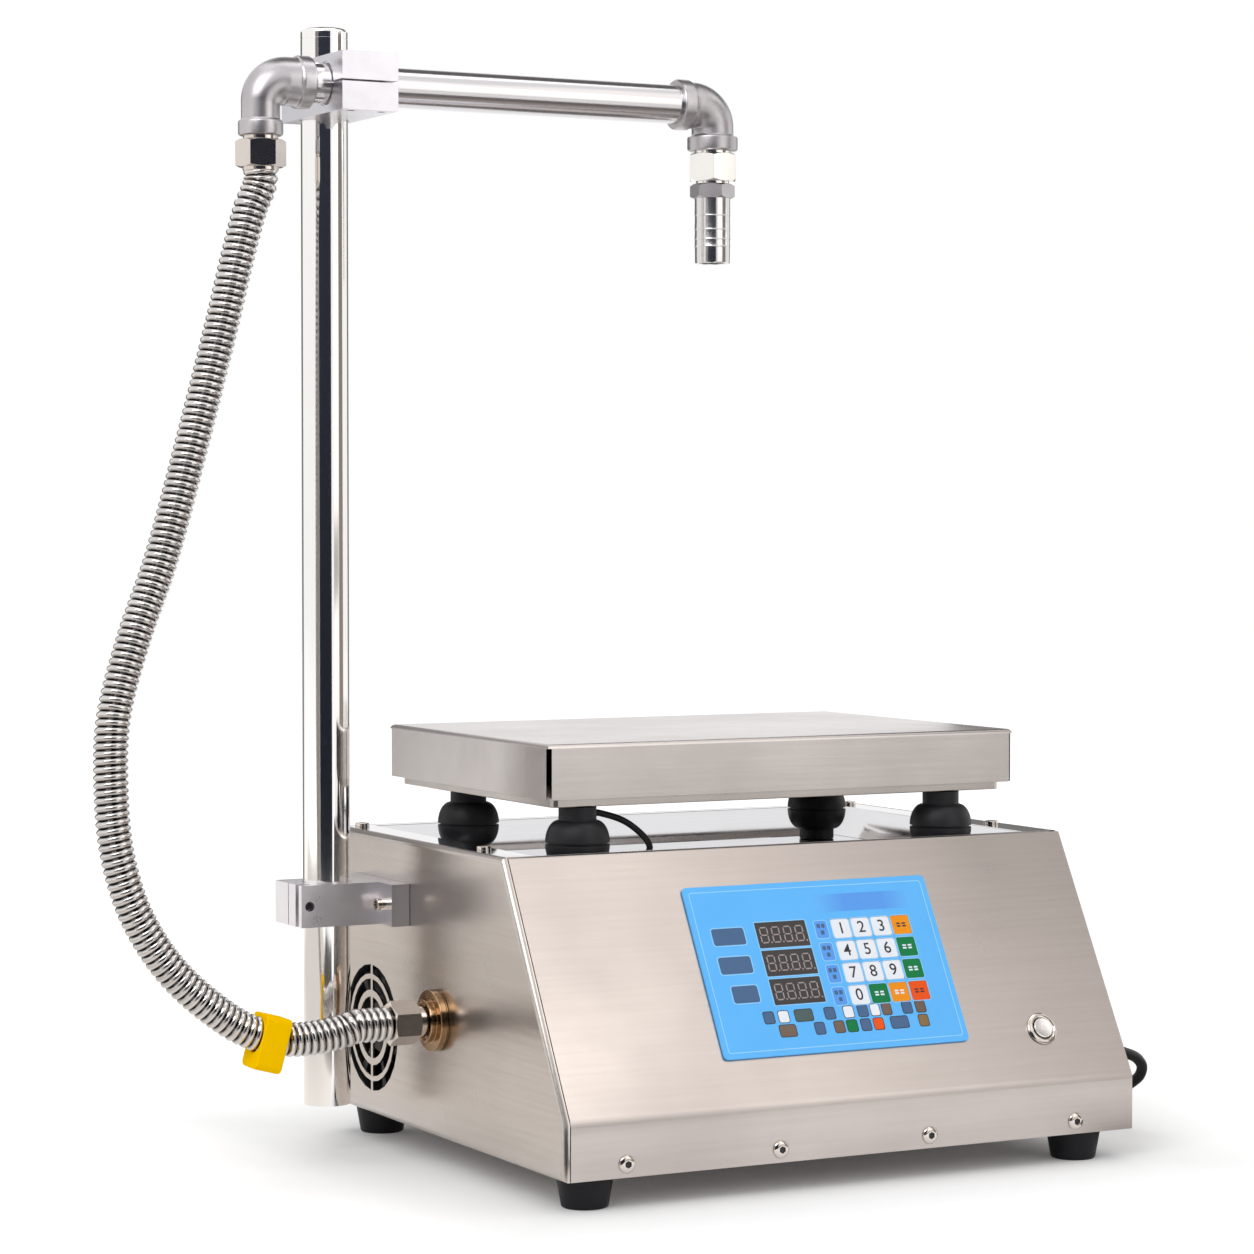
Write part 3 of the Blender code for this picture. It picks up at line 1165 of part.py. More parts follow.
def make_button(slope):
    """The push button: a bezel through the front panel and the cap that slides in it."""
    bore = BUTTON_CAP_RADIUS + SEAT
    profile = (
        (BUTTON_BARREL_RADIUS, -BUTTON_BARREL_LENGTH),
        (BUTTON_BARREL_RADIUS, SEAT),
        (BUTTON_BEZEL_RADIUS, SEAT),
        (BUTTON_BEZEL_RADIUS, BUTTON_BEZEL_HEIGHT - BUTTON_BEZEL_CHAMFER),
        (BUTTON_BEZEL_RADIUS - BUTTON_BEZEL_CHAMFER, BUTTON_BEZEL_HEIGHT),
        (bore, BUTTON_BEZEL_HEIGHT),
        (bore, -BUTTON_BARREL_LENGTH),
    )
    button_at = (BUTTON_X, BUTTON_UP_SLOPE, 0)
    bezel = turned("button_bezel", profile, closed=True)
    place("button_bezel", bezel, POLISHED_STEEL, slope, button_at)
    top = BUTTON_BEZEL_HEIGHT + BUTTON_CAP_STANDS
    profile = (
        (BUTTON_CAP_RADIUS, top - BUTTON_CAP_LENGTH),
        (BUTTON_CAP_RADIUS, top - BUTTON_CAP_CHAMFER),
        (BUTTON_CAP_RADIUS - BUTTON_CAP_CHAMFER, top),
    )
    place("button_cap", turned("button_cap", profile), POLISHED_STEEL, slope, button_at)
    panel = bpy.data.objects["front_panel"]
    panel_hole = hole(BUTTON_BARREL_RADIUS + SEAT, -SHEET - OVERRUN, OVERRUN)
    cut(panel, "button_hole", panel_hole)
    up_slope = Vector((BUTTON_UP_SLOPE * math.cos(SLOPE_ANGLE), BUTTON_UP_SLOPE * math.sin(SLOPE_ANGLE)))
    cutter = bpy.data.objects["button_hole"]
    cutter.location = (BUTTON_X, up_slope.x, LIP_HEIGHT + up_slope.y)
    cutter.rotation_euler = (SLOPE_ANGLE, 0, 0)


def make_fan(frame):
    """The fan's frame behind the grille, with its struts, and the rotor that turns in it."""
    start = SHEET + SEAT
    half = FAN_SIZE / 2
    square = [
        (half * math.cos(a) / max(abs(math.cos(a)), abs(math.sin(a))),
         half * math.sin(a) / max(abs(math.cos(a)), abs(math.sin(a))))
        for a in (2 * math.pi * i / ROUND_SIDES for i in range(ROUND_SIDES))
    ]
    bore = [(point.x, point.y) for point in ring(FAN_BORE_RADIUS, 0, ROUND_SIDES)]
    steps = ((square, 0), (square, FAN_THICKNESS), (bore, FAN_THICKNESS), (bore, 0))
    rings = [[Vector((x, y, z)) for x, y in shape] for shape, z in steps]
    fan_at = (start, FAN_Y, FAN_Z)
    fan = place("fan_frame", loft("fan_frame", rings, closed=True), BLACK_PLASTIC, frame, fan_at, SIDE_OUTLINE)
    strut_start = FAN_THICKNESS - FAN_STRUT
    reach = FAN_BORE_RADIUS + FAN_STRUT / 2
    hub = turned("hub", ((FAN_HUB_RADIUS, strut_start), (FAN_HUB_RADIUS, FAN_THICKNESS)), SMALL_SIDES)
    join(fan, "fan_hub", hub, fan_at, SIDE_OUTLINE)
    for name, across, up in (("level", reach, FAN_STRUT), ("upright", FAN_STRUT, reach)):
        strut = box(name, (-across, -up, strut_start), (across, up, FAN_THICKNESS - SEAT))
        join(fan, f"fan_strut_{name}", strut, fan_at, SIDE_OUTLINE)

    rotor_end = strut_start - SEAT
    rotor_start = rotor_end - FAN_ROTOR_THICKNESS
    rings = []
    for share in (0, 1 / 3, 2 / 3, 1):
        height = rotor_start + FAN_ROTOR_THICKNESS * share
        turn = FAN_TWIST * share
        rings.append(lobed_ring(FAN_BLADES, FAN_BLADE_SHARE, FAN_HUB_RADIUS, FAN_BLADE_RADIUS, height, turn))
    place("fan_rotor", loft("fan_rotor", rings), BLACK_PLASTIC, frame, fan_at, SIDE_OUTLINE)


def make_pump(frame):
    """The pump's body with its inlet pipe, the impeller on its shaft, and the motor."""
    length = PUMP_BODY_LENGTH
    collar = CABINET_DEPTH + SEAT - PUMP_FRONT
    tail = collar + INLET_COLLAR_LENGTH
    profile = [
        (PUMP_CHAMBER_RADIUS, 0),
        (PUMP_RADIUS, 0),
        (PUMP_RADIUS, length),
        (INLET_RADIUS, length),
        (INLET_RADIUS, collar),
        (INLET_COLLAR_RADIUS, collar),
        (INLET_COLLAR_RADIUS, tail),
        (INLET_RADIUS, tail),
    ]
    for i in range(1, INLET_RIDGES + 1):
        ridge = tail + INLET_TAIL_LENGTH * i / INLET_RIDGES
        profile += [(INLET_RIDGE_RADIUS, ridge - INLET_TAIL_LENGTH / INLET_RIDGES / 2), (INLET_RADIUS, ridge)]
    profile += [
        (INLET_BORE_RADIUS, tail + INLET_TAIL_LENGTH),
        (INLET_BORE_RADIUS, length - PUMP_BACK_WALL),
        (PUMP_CHAMBER_RADIUS, length - PUMP_BACK_WALL),
    ]
    pump_at = (PUMP_X, PUMP_FRONT, OUTLET_Z)
    head = place("pump_head", turned("pump_head", profile, closed=True), CAST_STEEL, frame, pump_at, ALONG_PLUS_Y)
    port = hole(OUTLET_SPIGOT_RADIUS + SEAT, -PUMP_RADIUS - OVERRUN, 0)
    cut(head, "outlet_port", port, (PUMP_X, OUTLET_Y, OUTLET_Z), ALONG_PLUS_X)

    chamber = length - PUMP_BACK_WALL
    start = (chamber - IMPELLER_LENGTH) / 2
    lobes = []
    for height in (start, start + IMPELLER_LENGTH):
        lobes.append(lobed_ring(IMPELLER_LOBES, IMPELLER_LOBE_SHARE, IMPELLER_ROOT_RADIUS, IMPELLER_RADIUS, height, 0))
    sides = len(lobes[0])
    shaft = [ring(SHAFT_RADIUS, start - SHAFT_LENGTH, sides), ring(SHAFT_RADIUS, start, sides)]
    mesh = loft("impeller", [*shaft, *lobes])
    place("impeller", mesh, BRASS, frame, pump_at, ALONG_PLUS_Y)

    front = -MOTOR_LENGTH - SEAT
    back = -SEAT
    bore = SHAFT_RADIUS + SEAT
    depth = start - SHAFT_LENGTH - SEAT
    profile = (
        (0, front),
        (MOTOR_RADIUS - MOTOR_CHAMFER, front),
        (MOTOR_RADIUS, front + MOTOR_CHAMFER),
        (MOTOR_RADIUS, back),
        (bore, back),
        (bore, depth),
        (0, depth),
    )
    motor = place("pump_motor", turned("pump_motor", profile), BLACK_PLASTIC, frame, pump_at, ALONG_PLUS_Y)
    floor = SHEET + SEAM + SHEET + SEAT
    half = MOTOR_FOOT_WIDTH / 2
    middle = PUMP_FRONT - SEAT - MOTOR_LENGTH / 2
    reach = MOTOR_LENGTH * MOTOR_FOOT_SHARE / 2
    foot = box("foot", (PUMP_X - half, middle - reach, floor),
               (PUMP_X + half, middle + reach, OUTLET_Z - MOTOR_RADIUS * 0.8))
    join(motor, "motor_foot", foot)


def coil_points():
    """Two layers of turns: in along the lower one, up where it reverses, and out along the upper one."""
    turns = 2 * COIL_TURNS_PER_LAYER + 0.5
    steps = round(turns * COIL_POINTS_PER_TURN)
    reverse = COIL_TURNS_PER_LAYER + 0.25
    points = []
    for i in range(steps + 1):
        turn = i / COIL_POINTS_PER_TURN
        inward = turn if turn < reverse else 2 * reverse - turn
        radius = COIL_OUTER_RADIUS - COIL_PITCH * inward
        climb = min(max((turn - COIL_TURNS_PER_LAYER) * 2, 0), 1)
        angle = 2 * math.pi * turn
        x = COIL_X + radius * math.cos(angle)
        y = COIL_Y + radius * math.sin(angle)
        points.append(Vector((x, y, CORD_FLOOR_Z + COIL_LAYER_RISE * climb)))
    lead = Vector((0, 2 * CORD_RADIUS, 0))
    tail = Vector((0, COIL_TAIL, 0))
    return [points[0] - lead, *points, points[-1] - tail]


def least_gap(points, radius, apart):
    """The least gap that a tube along the points leaves to its own other turns."""
    gap = math.inf
    for i, here in enumerate(points):
        for there in points[i + apart:]:
            gap = min(gap, (here - there).length - 2 * radius)
    return gap


def make_power_cord(frame):
    """Gland, free cord, coil and plug."""
    hexagon = [
        (GLAND_THREAD_RADIUS, -GLAND_THREAD_LENGTH),
        (GLAND_THREAD_RADIUS, SEAT),
        (GLAND_FLATS / math.sqrt(3), SEAT, GLAND_FLATS),
        (GLAND_FLATS / math.sqrt(3), SEAT + GLAND_HEX_LENGTH, GLAND_FLATS),
    ]
    dome = GLAND_TIP - CABINET_WIDTH
    profile = [
        (0, -GLAND_THREAD_LENGTH),
        *hexagon,
        (GLAND_DOME_RADIUS, SEAT + GLAND_HEX_LENGTH),
        (GLAND_DOME_RADIUS, dome - GLAND_DOME_LENGTH / 2),
        (GLAND_DOME_TIP_RADIUS, dome),
        (0, dome),
    ]
    gland_at = (CABINET_WIDTH, GLAND_Y, GLAND_Z)
    mesh = turned("cord_gland", profile, HEX_SIDES)
    place("cord_gland", mesh, BLACK_PLASTIC, frame, gland_at, ALONG_PLUS_X)

    start = Vector((GLAND_TIP + SEAT, GLAND_Y, GLAND_Z))
    start_run = start + Vector((CORD_RADIUS, 0, 0))
    end_run = CORD_END - Vector((0, 2 * CORD_RADIUS, 0))
    route = [Vector((CABINET_WIDTH + right, GLAND_Y + behind, height)) for right, behind, height in CORD_ROUTE]
    middle = smooth_route((start_run, *route, end_run), (1, 0, 0), (0, 1, 0), 3 * CORD_RADIUS)
    points = [start, *middle, CORD_END]
    place("power_cord", tube_curve("power_cord", points, CORD_RADIUS, 2), BLACK_PLASTIC, frame)
    coil = coil_points()
    place("power_coil", tube_curve("power_coil", coil, CORD_RADIUS, 1), BLACK_PLASTIC, frame)
    gap = least_gap(coil, CORD_RADIUS, COIL_POINTS_PER_TURN // 2)
    print("power coil: least gap to itself", round(gap, 5), "m")
    make_plug(frame, coil[-1])


def make_plug(frame, cord_end):
    """A plug with two round pins, which lies on the floor at the coil's free end."""
    small = 1 - PLUG_TAPER_SHARE
    body = rounded_rectangle(PLUG_WIDTH, PLUG_HEIGHT, PLUG_CORNER)
    neck = rounded_rectangle(PLUG_WIDTH * small, PLUG_HEIGHT * small, PLUG_CORNER * small)
    steps = ((neck, 0), (body, PLUG_TAPER_LENGTH), (body, PLUG_LENGTH))
    mesh = loft("power_plug", [[Vector((x, y, z)) for x, y in shape] for shape, z in steps])
    way = (math.pi / 2, 0, 0)
    plug_at = (cord_end.x, cord_end.y - SEAT, cord_end.z)
    plug = place("power_plug", mesh, BLACK_PLASTIC, frame, plug_at, way)
    for side in (-1, 1):
        start = PLUG_LENGTH - OVERRUN
        tip = PLUG_LENGTH + PLUG_PIN_LENGTH
        pin = turned("pin", ((PLUG_PIN_RADIUS, start), (PLUG_PIN_RADIUS, tip)), BORE_SIDES)
        pin_at = (plug_at[0] + side * PLUG_PIN_SPACING / 2, plug_at[1], plug_at[2])
        join(plug, f"plug_pin_{side}", pin, pin_at, way)


def main():
    for old in list(bpy.data.objects):
        bpy.data.objects.remove(old)
    left_reach = LEFT_LEG_X - UPPER_NUT_FLATS / math.sqrt(3)
    rear_reach = CABINET_DEPTH + SEAT + INLET_COLLAR_LENGTH + INLET_TAIL_LENGTH
    middle = (-(left_reach + CABINET_WIDTH) / 2, -rear_reach / 2, -FLOOR_Z)
    frame = empty("cabinet_corner", None, middle)
    make_cabinet(frame)
    make_feet(frame)
    make_outlet(frame)
    make_hose(frame)
    make_bracket(frame)
    make_mast(frame)
    make_arm(frame)
    make_scale(frame)
    slope = empty("slope", frame, (0, 0, LIP_HEIGHT), (SLOPE_ANGLE, 0, 0))
    make_keypad(slope)
    make_button(slope)
    make_fan(frame)
    make_pump(frame)
    make_power_cord(frame)


main()
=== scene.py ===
import math
from itertools import pairwise

import bpy
from mathutils import Matrix, Vector


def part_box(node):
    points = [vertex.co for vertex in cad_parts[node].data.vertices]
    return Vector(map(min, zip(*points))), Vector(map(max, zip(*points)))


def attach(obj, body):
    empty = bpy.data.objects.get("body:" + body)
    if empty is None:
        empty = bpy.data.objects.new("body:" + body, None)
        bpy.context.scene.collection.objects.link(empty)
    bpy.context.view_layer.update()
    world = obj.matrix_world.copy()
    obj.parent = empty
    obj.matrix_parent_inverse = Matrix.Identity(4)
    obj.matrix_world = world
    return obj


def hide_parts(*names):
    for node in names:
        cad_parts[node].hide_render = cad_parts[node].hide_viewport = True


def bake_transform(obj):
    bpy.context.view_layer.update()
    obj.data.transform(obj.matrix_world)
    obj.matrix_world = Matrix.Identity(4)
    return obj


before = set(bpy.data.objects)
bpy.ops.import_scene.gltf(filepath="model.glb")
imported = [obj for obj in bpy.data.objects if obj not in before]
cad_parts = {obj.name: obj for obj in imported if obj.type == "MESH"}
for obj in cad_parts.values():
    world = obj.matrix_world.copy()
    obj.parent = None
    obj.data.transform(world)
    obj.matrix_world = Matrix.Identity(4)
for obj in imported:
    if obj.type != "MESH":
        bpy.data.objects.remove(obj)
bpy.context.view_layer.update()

X_WAY = Vector((1, 0, 0))
Y_WAY = Vector((0, 1, 0))
Z_WAY = Vector((0, 0, 1))

# Places are in millimetres from the cabinet's lower front left corner
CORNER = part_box("left_side_panel")[0].copy()
CABINET_WIDTH = 430
CABINET_DEPTH = 357
CABINET_HEIGHT = 194.6
LIP_HEIGHT = 36.5
SLOPE_END_Y = 88.6
MAST_X = -42
MAST_Y = 273.5
ARM_Y = 226
ARM_Z = 698.5
HOSE_LEG_X = -107.5
NOZZLE_X = 231.2
OUTLET_Y = 186
OUTLET_Z = 78.5
GLAND_Y = 60
SLOPE_TURN = math.radians(60.7335)
SLOPE_ROTATION = (SLOPE_TURN, 0, 0)
SLOPE_OUT = Vector((0, -math.sin(SLOPE_TURN), math.cos(SLOPE_TURN)))


def spot(x, y, z):
    """A place in the row frame."""
    return CORNER + Vector((x, y, z)) / 1000


def on_slope(x, up, out):
    """A place on the sloping front, from its lower left end."""
    rise = math.sin(SLOPE_TURN)
    run = math.cos(SLOPE_TURN)
    return spot(x, up * run - out * rise, LIP_HEIGHT + up * rise + out * run)


# Camera, at the photograph's place
CAMERA_PLACE = (-1.154948, -2.17745, 0.43856)
CAMERA_DIP = 1.8914
CAMERA_YAW = -27.8305
CAMERA_LENS = 103.52


def set_camera():
    """The camera that took the photograph."""
    bpy.ops.object.camera_add(location=CAMERA_PLACE)
    camera = bpy.context.object
    camera.name = "camera"
    camera.rotation_euler = (math.radians(90 - CAMERA_DIP), 0, math.radians(CAMERA_YAW))
    camera.data.lens = CAMERA_LENS
    camera.data.sensor_width = 36
    bpy.context.scene.camera = camera


# Shader nodes
def node(tree, kind, **settings):
    """A node with its settings."""
    made = tree.nodes.new(kind)
    for name, value in settings.items():
        setattr(made, name, value)
    return made


def feed(tree, value, socket):
    """Give a socket a plain value, or a link from another socket."""
    if isinstance(value, (int, float, tuple)):
        socket.default_value = value
    else:
        tree.links.new(value, socket)


def combine(tree, kind, first, second=0.0):
    """One or two values put through a sum."""
    made = node(tree, "ShaderNodeMath", operation=kind)
    feed(tree, first, made.inputs[0])
    feed(tree, second, made.inputs[1])
    return made.outputs[0]


def object_place(tree):
    """Where a point lies in its object."""
    return node(tree, "ShaderNodeTexCoord").outputs["Object"]


def along(tree, axis):
    """How far along an axis a point lies."""
    split = node(tree, "ShaderNodeSeparateXYZ")
    tree.links.new(object_place(tree), split.inputs[0])
    return split.outputs[axis]


def noise(tree, place, scale, detail, roughness):
    """A noise texture read at a place."""
    made = node(tree, "ShaderNodeTexNoise")
    made.inputs["Detail"].default_value = detail
    made.inputs["Roughness"].default_value = roughness
    feed(tree, scale, made.inputs["Scale"])
    tree.links.new(place, made.inputs["Vector"])
    return made.outputs["Fac"]


def remap(tree, value, low, high, new_low, new_high):
    """A value moved from one range to another, and held inside it."""
    made = node(tree, "ShaderNodeMapRange")
    for label, given in (
        ("Value", value),
        ("From Min", low),
        ("From Max", high),
        ("To Min", new_low),
        ("To Max", new_high),
    ):
        feed(tree, given, made.inputs[label])
    return made.outputs["Result"]


def blend_colours(tree, share, low, high):
    """A colour between two others."""
    made = node(tree, "ShaderNodeMix", data_type="RGBA")
    tree.links.new(share, made.inputs["Factor"])
    for label, colour in (("A", low), ("B", high)):
        feed(tree, colour, next(s for s in made.inputs if s.name == label and s.type == "RGBA"))
    return next(s for s in made.outputs if s.type == "RGBA")


def raised(tree, height, depth):
    """A bump normal from a height."""
    made = node(tree, "ShaderNodeBump")
    made.inputs["Strength"].default_value = 1
    tree.links.new(depth, made.inputs["Distance"])
    tree.links.new(height, made.inputs["Height"])
    return made.outputs["Normal"]


def new_group(name, inputs, outputs):
    """A shader node group with its sockets, and its two end nodes."""
    group = bpy.data.node_groups.new(name, "ShaderNodeTree")
    for label, kind, value in inputs:
        socket = group.interface.new_socket(name=label, in_out="INPUT", socket_type=kind)
        socket.default_value = value
    for label, kind in outputs:
        group.interface.new_socket(name=label, in_out="OUTPUT", socket_type=kind)
    return group, group.nodes.new("NodeGroupInput"), group.nodes.new("NodeGroupOutput")


def make_pattern_group(name, own_inputs, cloud_noise, cloud_range, patch_share, fine_pattern):
    """A group that mixes a fine pattern with the cloudy patches that handling leaves."""
    inputs = (
        *own_inputs,
        ("Light", "NodeSocketColor", (0.6, 0.6, 0.6, 1)),
        ("Dark", "NodeSocketColor", (0.5, 0.5, 0.5, 1)),
        ("Smooth", "NodeSocketFloat", 0.3),
        ("Rough", "NodeSocketFloat", 0.4),
    )
    outputs = (
        ("Colour", "NodeSocketColor"),
        ("Roughness", "NodeSocketFloat"),
        ("Normal", "NodeSocketVector"),
    )
    group, start, end = new_group(name, inputs, outputs)
    given = start.outputs
    place = object_place(group)
    height, depth, fine = fine_pattern(group, given, place)
    patch = remap(group, noise(group, place, *cloud_noise), *cloud_range, 0, 1)
    cloudy = combine(group, "MULTIPLY", patch, patch_share)
    both = combine(group, "ADD", cloudy, combine(group, "MULTIPLY", fine, 1 - patch_share))
    results = (
        ("Colour", blend_colours(group, both, given["Dark"], given["Light"])),
        ("Roughness", remap(group, patch, 0, 1, given["Rough"], given["Smooth"])),
        ("Normal", raised(group, height, depth)),
    )
    for label, result in results:
        group.links.new(result, end.inputs[label])
    return group


def brushed_lines(group, given, place):
    """Fine lines that a brushing belt leaves."""
    stretched = node(group, "ShaderNodeVectorMath", operation="MULTIPLY")
    group.links.new(place, stretched.inputs[0])
    group.links.new(given["Stretch"], stretched.inputs[1])
    lines = noise(group, stretched.outputs[0], 1.0, 3.0, 0.6)
    return lines, given["Line Depth"], remap(group, lines, 0.25, 0.75, 0, 1)


def fine_grain(group, given, place):
    """A fine grain all over, for castings, rubber and moulded plastic."""
    grain = noise(group, place, given["Grain Size"], 3.0, 0.6)
    return grain, given["Grain Depth"], grain


# Brushed finishes: light and dark tint, stretch, least and most roughness, depth of the lines
ALONG_X = (8, 330, 330)
ALONG_Y = (330, 8, 330)
ALONG_Z = (330, 330, 8)
BRUSHED = {
    "front_sheet": ((0.60, 0.545, 0.515), (0.52, 0.465, 0.44), ALONG_X, 0.26, 0.36, 0.000003),
    "side_sheet": ((0.60, 0.555, 0.52), (0.50, 0.455, 0.42), ALONG_Y, 0.20, 0.30, 0.000003),
    # The top plate and the well's walls: a smoother finish, and a lighter tint that paints light into the
    # shaded well.
    "top_sheet": ((0.78, 0.775, 0.79), (0.73, 0.725, 0.74), ALONG_X, 0.05, 0.09, 0.000001),
    "platter_sheet": ((0.64, 0.60, 0.58), (0.55, 0.51, 0.495), ALONG_X, 0.18, 0.28, 0.000005),
    "base_sheet": ((0.56, 0.52, 0.49), (0.48, 0.44, 0.42), ALONG_X, 0.18, 0.28, 0.000005),
    # The mast and the arm are one polished steel: the mast's copy is painted lighter and the arm's darker,
    # for how light falls on them.
    "polished_upright_lit": ((0.95, 0.93, 0.91), (0.90, 0.88, 0.86), ALONG_Z, 0.05, 0.09, 0.000002),
    "polished_level_shaded": ((0.72, 0.70, 0.715), (0.66, 0.64, 0.655), ALONG_X, 0.13, 0.20, 0.000002),
    "barb_steel": ((0.78, 0.76, 0.755), (0.68, 0.66, 0.655), (300, 300, 500), 0.12, 0.20, 0.000003),
    "brass": ((0.44, 0.285, 0.155), (0.30, 0.19, 0.105), (200, 200, 200), 0.09, 0.15, 0.000001),
}

# Grained metals: light and dark tint, fineness and depth of the grain, least and most roughness
METALS = {
    "nut_steel": ((0.72, 0.655, 0.605), (0.66, 0.60, 0.55), 900, 0.000002, 0.07, 0.14),
    # A lighter copy of the nut steel, painted light on the nipple.
    "nipple_steel_lit": ((0.93, 0.90, 0.86), (0.88, 0.85, 0.81), 900, 0.000002, 0.07, 0.14),
    "hose_steel": ((0.80, 0.77, 0.75), (0.56, 0.53, 0.52), 500, 0.000006, 0.08, 0.18),
    "cast_steel": ((0.60, 0.575, 0.59), (0.41, 0.39, 0.405), 1300, 0.00005, 0.27, 0.38),
    "aluminium": ((0.76, 0.745, 0.78), (0.69, 0.675, 0.71), 2400, 0.000015, 0.26, 0.36),
    # A lighter copy of the aluminium, painted light on the bracket.
    "bracket_metal_lit": ((0.94, 0.92, 0.96), (0.87, 0.85, 0.89), 2400, 0.000015, 0.26, 0.36),
    "cap_steel": ((0.90, 0.88, 0.87), (0.84, 0.82, 0.81), 1600, 0.000006, 0.20, 0.30),
}

# Grained plastics, rubbers and prints: the same, and the share of light that mirrors
PLASTICS = {
    "rubber": ((0.016, 0.016, 0.019), (0.008, 0.008, 0.010), 1800, 0.00002, 0.40, 0.55, 0.30),
    "foot_rubber": ((0.012, 0.012, 0.015), (0.006, 0.006, 0.008), 1500, 0.00002, 0.40, 0.55, 0.22),
    "cord_plastic": ((0.014, 0.014, 0.017), (0.007, 0.007, 0.009), 1400, 0.00002, 0.32, 0.46, 0.35),
    "fan_plastic": ((0.020, 0.020, 0.022), (0.011, 0.011, 0.012), 1200, 0.00003, 0.40, 0.55, 0.5),
    "motor_paint": ((0.05, 0.06, 0.07), (0.03, 0.035, 0.04), 900, 0.00005, 0.40, 0.55, 0.5),
    "clip_plastic": ((1.0, 0.60, 0.0), (0.98, 0.54, 0.0), 900, 0.00001, 0.40, 0.55, 0.0),
    "film_blue": ((0.118, 0.50, 1.0), (0.100, 0.465, 0.96), 2600, 0.000008, 0.34, 0.44, 0.3),
    "key_white": ((0.86, 0.88, 0.93), (0.80, 0.83, 0.90), 2600, 0.00001, 0.34, 0.44, 0.5),
    "key_orange": ((0.93, 0.33, 0.004), (0.87, 0.27, 0.003), 2600, 0.000006, 0.40, 0.50, 0.15),
    "key_green": ((0.006, 0.22, 0.065), (0.004, 0.18, 0.050), 2600, 0.000006, 0.40, 0.50, 0.15),
    "key_red": ((0.90, 0.10, 0.004), (0.84, 0.08, 0.003), 2600, 0.000006, 0.40, 0.50, 0.15),
    "print_black": ((0.020, 0.021, 0.026), (0.012, 0.012, 0.016), 2600, 0.00001, 0.40, 0.50, 0.5),
    "print_white": ((0.80, 0.88, 0.97), (0.74, 0.83, 0.95), 2600, 0.00001, 0.38, 0.48, 0.5),
    "print_pale": ((0.30, 0.66, 1.0), (0.27, 0.62, 0.97), 2600, 0.00001, 0.36, 0.46, 0.5),
    "print_deep": ((0.085, 0.34, 0.88), (0.075, 0.31, 0.84), 2600, 0.00001, 0.36, 0.46, 0.5),
    "band_blue": ((0.085, 0.34, 0.88), (0.075, 0.31, 0.84), 2600, 0.00001, 0.36, 0.46, 0.5),
    "print_navy": ((0.050, 0.125, 0.27), (0.040, 0.105, 0.235), 2600, 0.00001, 0.36, 0.46, 0.5),
    "print_brown": ((0.17, 0.11, 0.075), (0.13, 0.08, 0.055), 2600, 0.00001, 0.36, 0.46, 0.5),
    "print_olive": ((0.065, 0.11, 0.105), (0.045, 0.08, 0.08), 2600, 0.00001, 0.36, 0.46, 0.5),
    "print_gold": ((0.26, 0.15, 0.04), (0.21, 0.12, 0.03), 2600, 0.00001, 0.36, 0.46, 0.5),
    "display_glass": ((0.052, 0.047, 0.048), (0.038, 0.034, 0.036), 1200, 0.000004, 0.16, 0.26, 0.3),
    "digit_bars": ((0.40, 0.33, 0.32), (0.33, 0.27, 0.26), 2000, 0.00001, 0.35, 0.45, 0.3),
}
LOOKS = {}


def make_finish(group, name, labels, light, dark, *rest, metallic=1, specular=0.5):
    """A finish whose colour, roughness and normal come from a shared group."""
    made = bpy.data.materials.new(name)
    made.use_nodes = True
    tree = made.node_tree
    surface = tree.nodes["Principled BSDF"]
    surface.inputs["Metallic"].default_value = metallic
    surface.inputs["Specular IOR Level"].default_value = specular
    pattern = node(tree, "ShaderNodeGroup", node_tree=group)
    values = dict(zip(labels, rest, strict=True), Light=(*light, 1), Dark=(*dark, 1))
    for label, value in values.items():
        pattern.inputs[label].default_value = value
    for result, socket in (("Colour", "Base Color"), ("Roughness", "Roughness"), ("Normal", "Normal")):
        tree.links.new(pattern.outputs[result], surface.inputs[socket])
    LOOKS[name] = made


def recolour(look, share_from, low, high):
    """Blend a finish's colour with another; None stands for the colour it has."""
    tree = look.node_tree
    target = tree.nodes["Principled BSDF"].inputs["Base Color"]
    colour = target.links[0].from_socket
    share = share_from(tree)
    tree.links.new(blend_colours(tree, share, low or colour, high or colour), target)


def groove_shade_share(tree):
    """How deep in a groove a point of the mesh lies, as between a hose's ribs: the share of shade painted
    into the grooves.
    """
    groove = node(tree, "ShaderNodeAttribute", attribute_name="groove")
    return remap(tree, groove.outputs["Fac"], 0.15, 0.70, 0, 1)


def band_middle(tree):
    """High in the middle of the keypad's band, and fading at its two ends."""
    low = spot(219, 0, 0).x
    high = spot(294, 0, 0).x
    soft = 0.022
    place = along(tree, "X")
    return combine(
        tree,
        "MULTIPLY",
        remap(tree, place, low, low + soft, 0, 1),
        remap(tree, place, high - soft, high, 1, 0),
    )


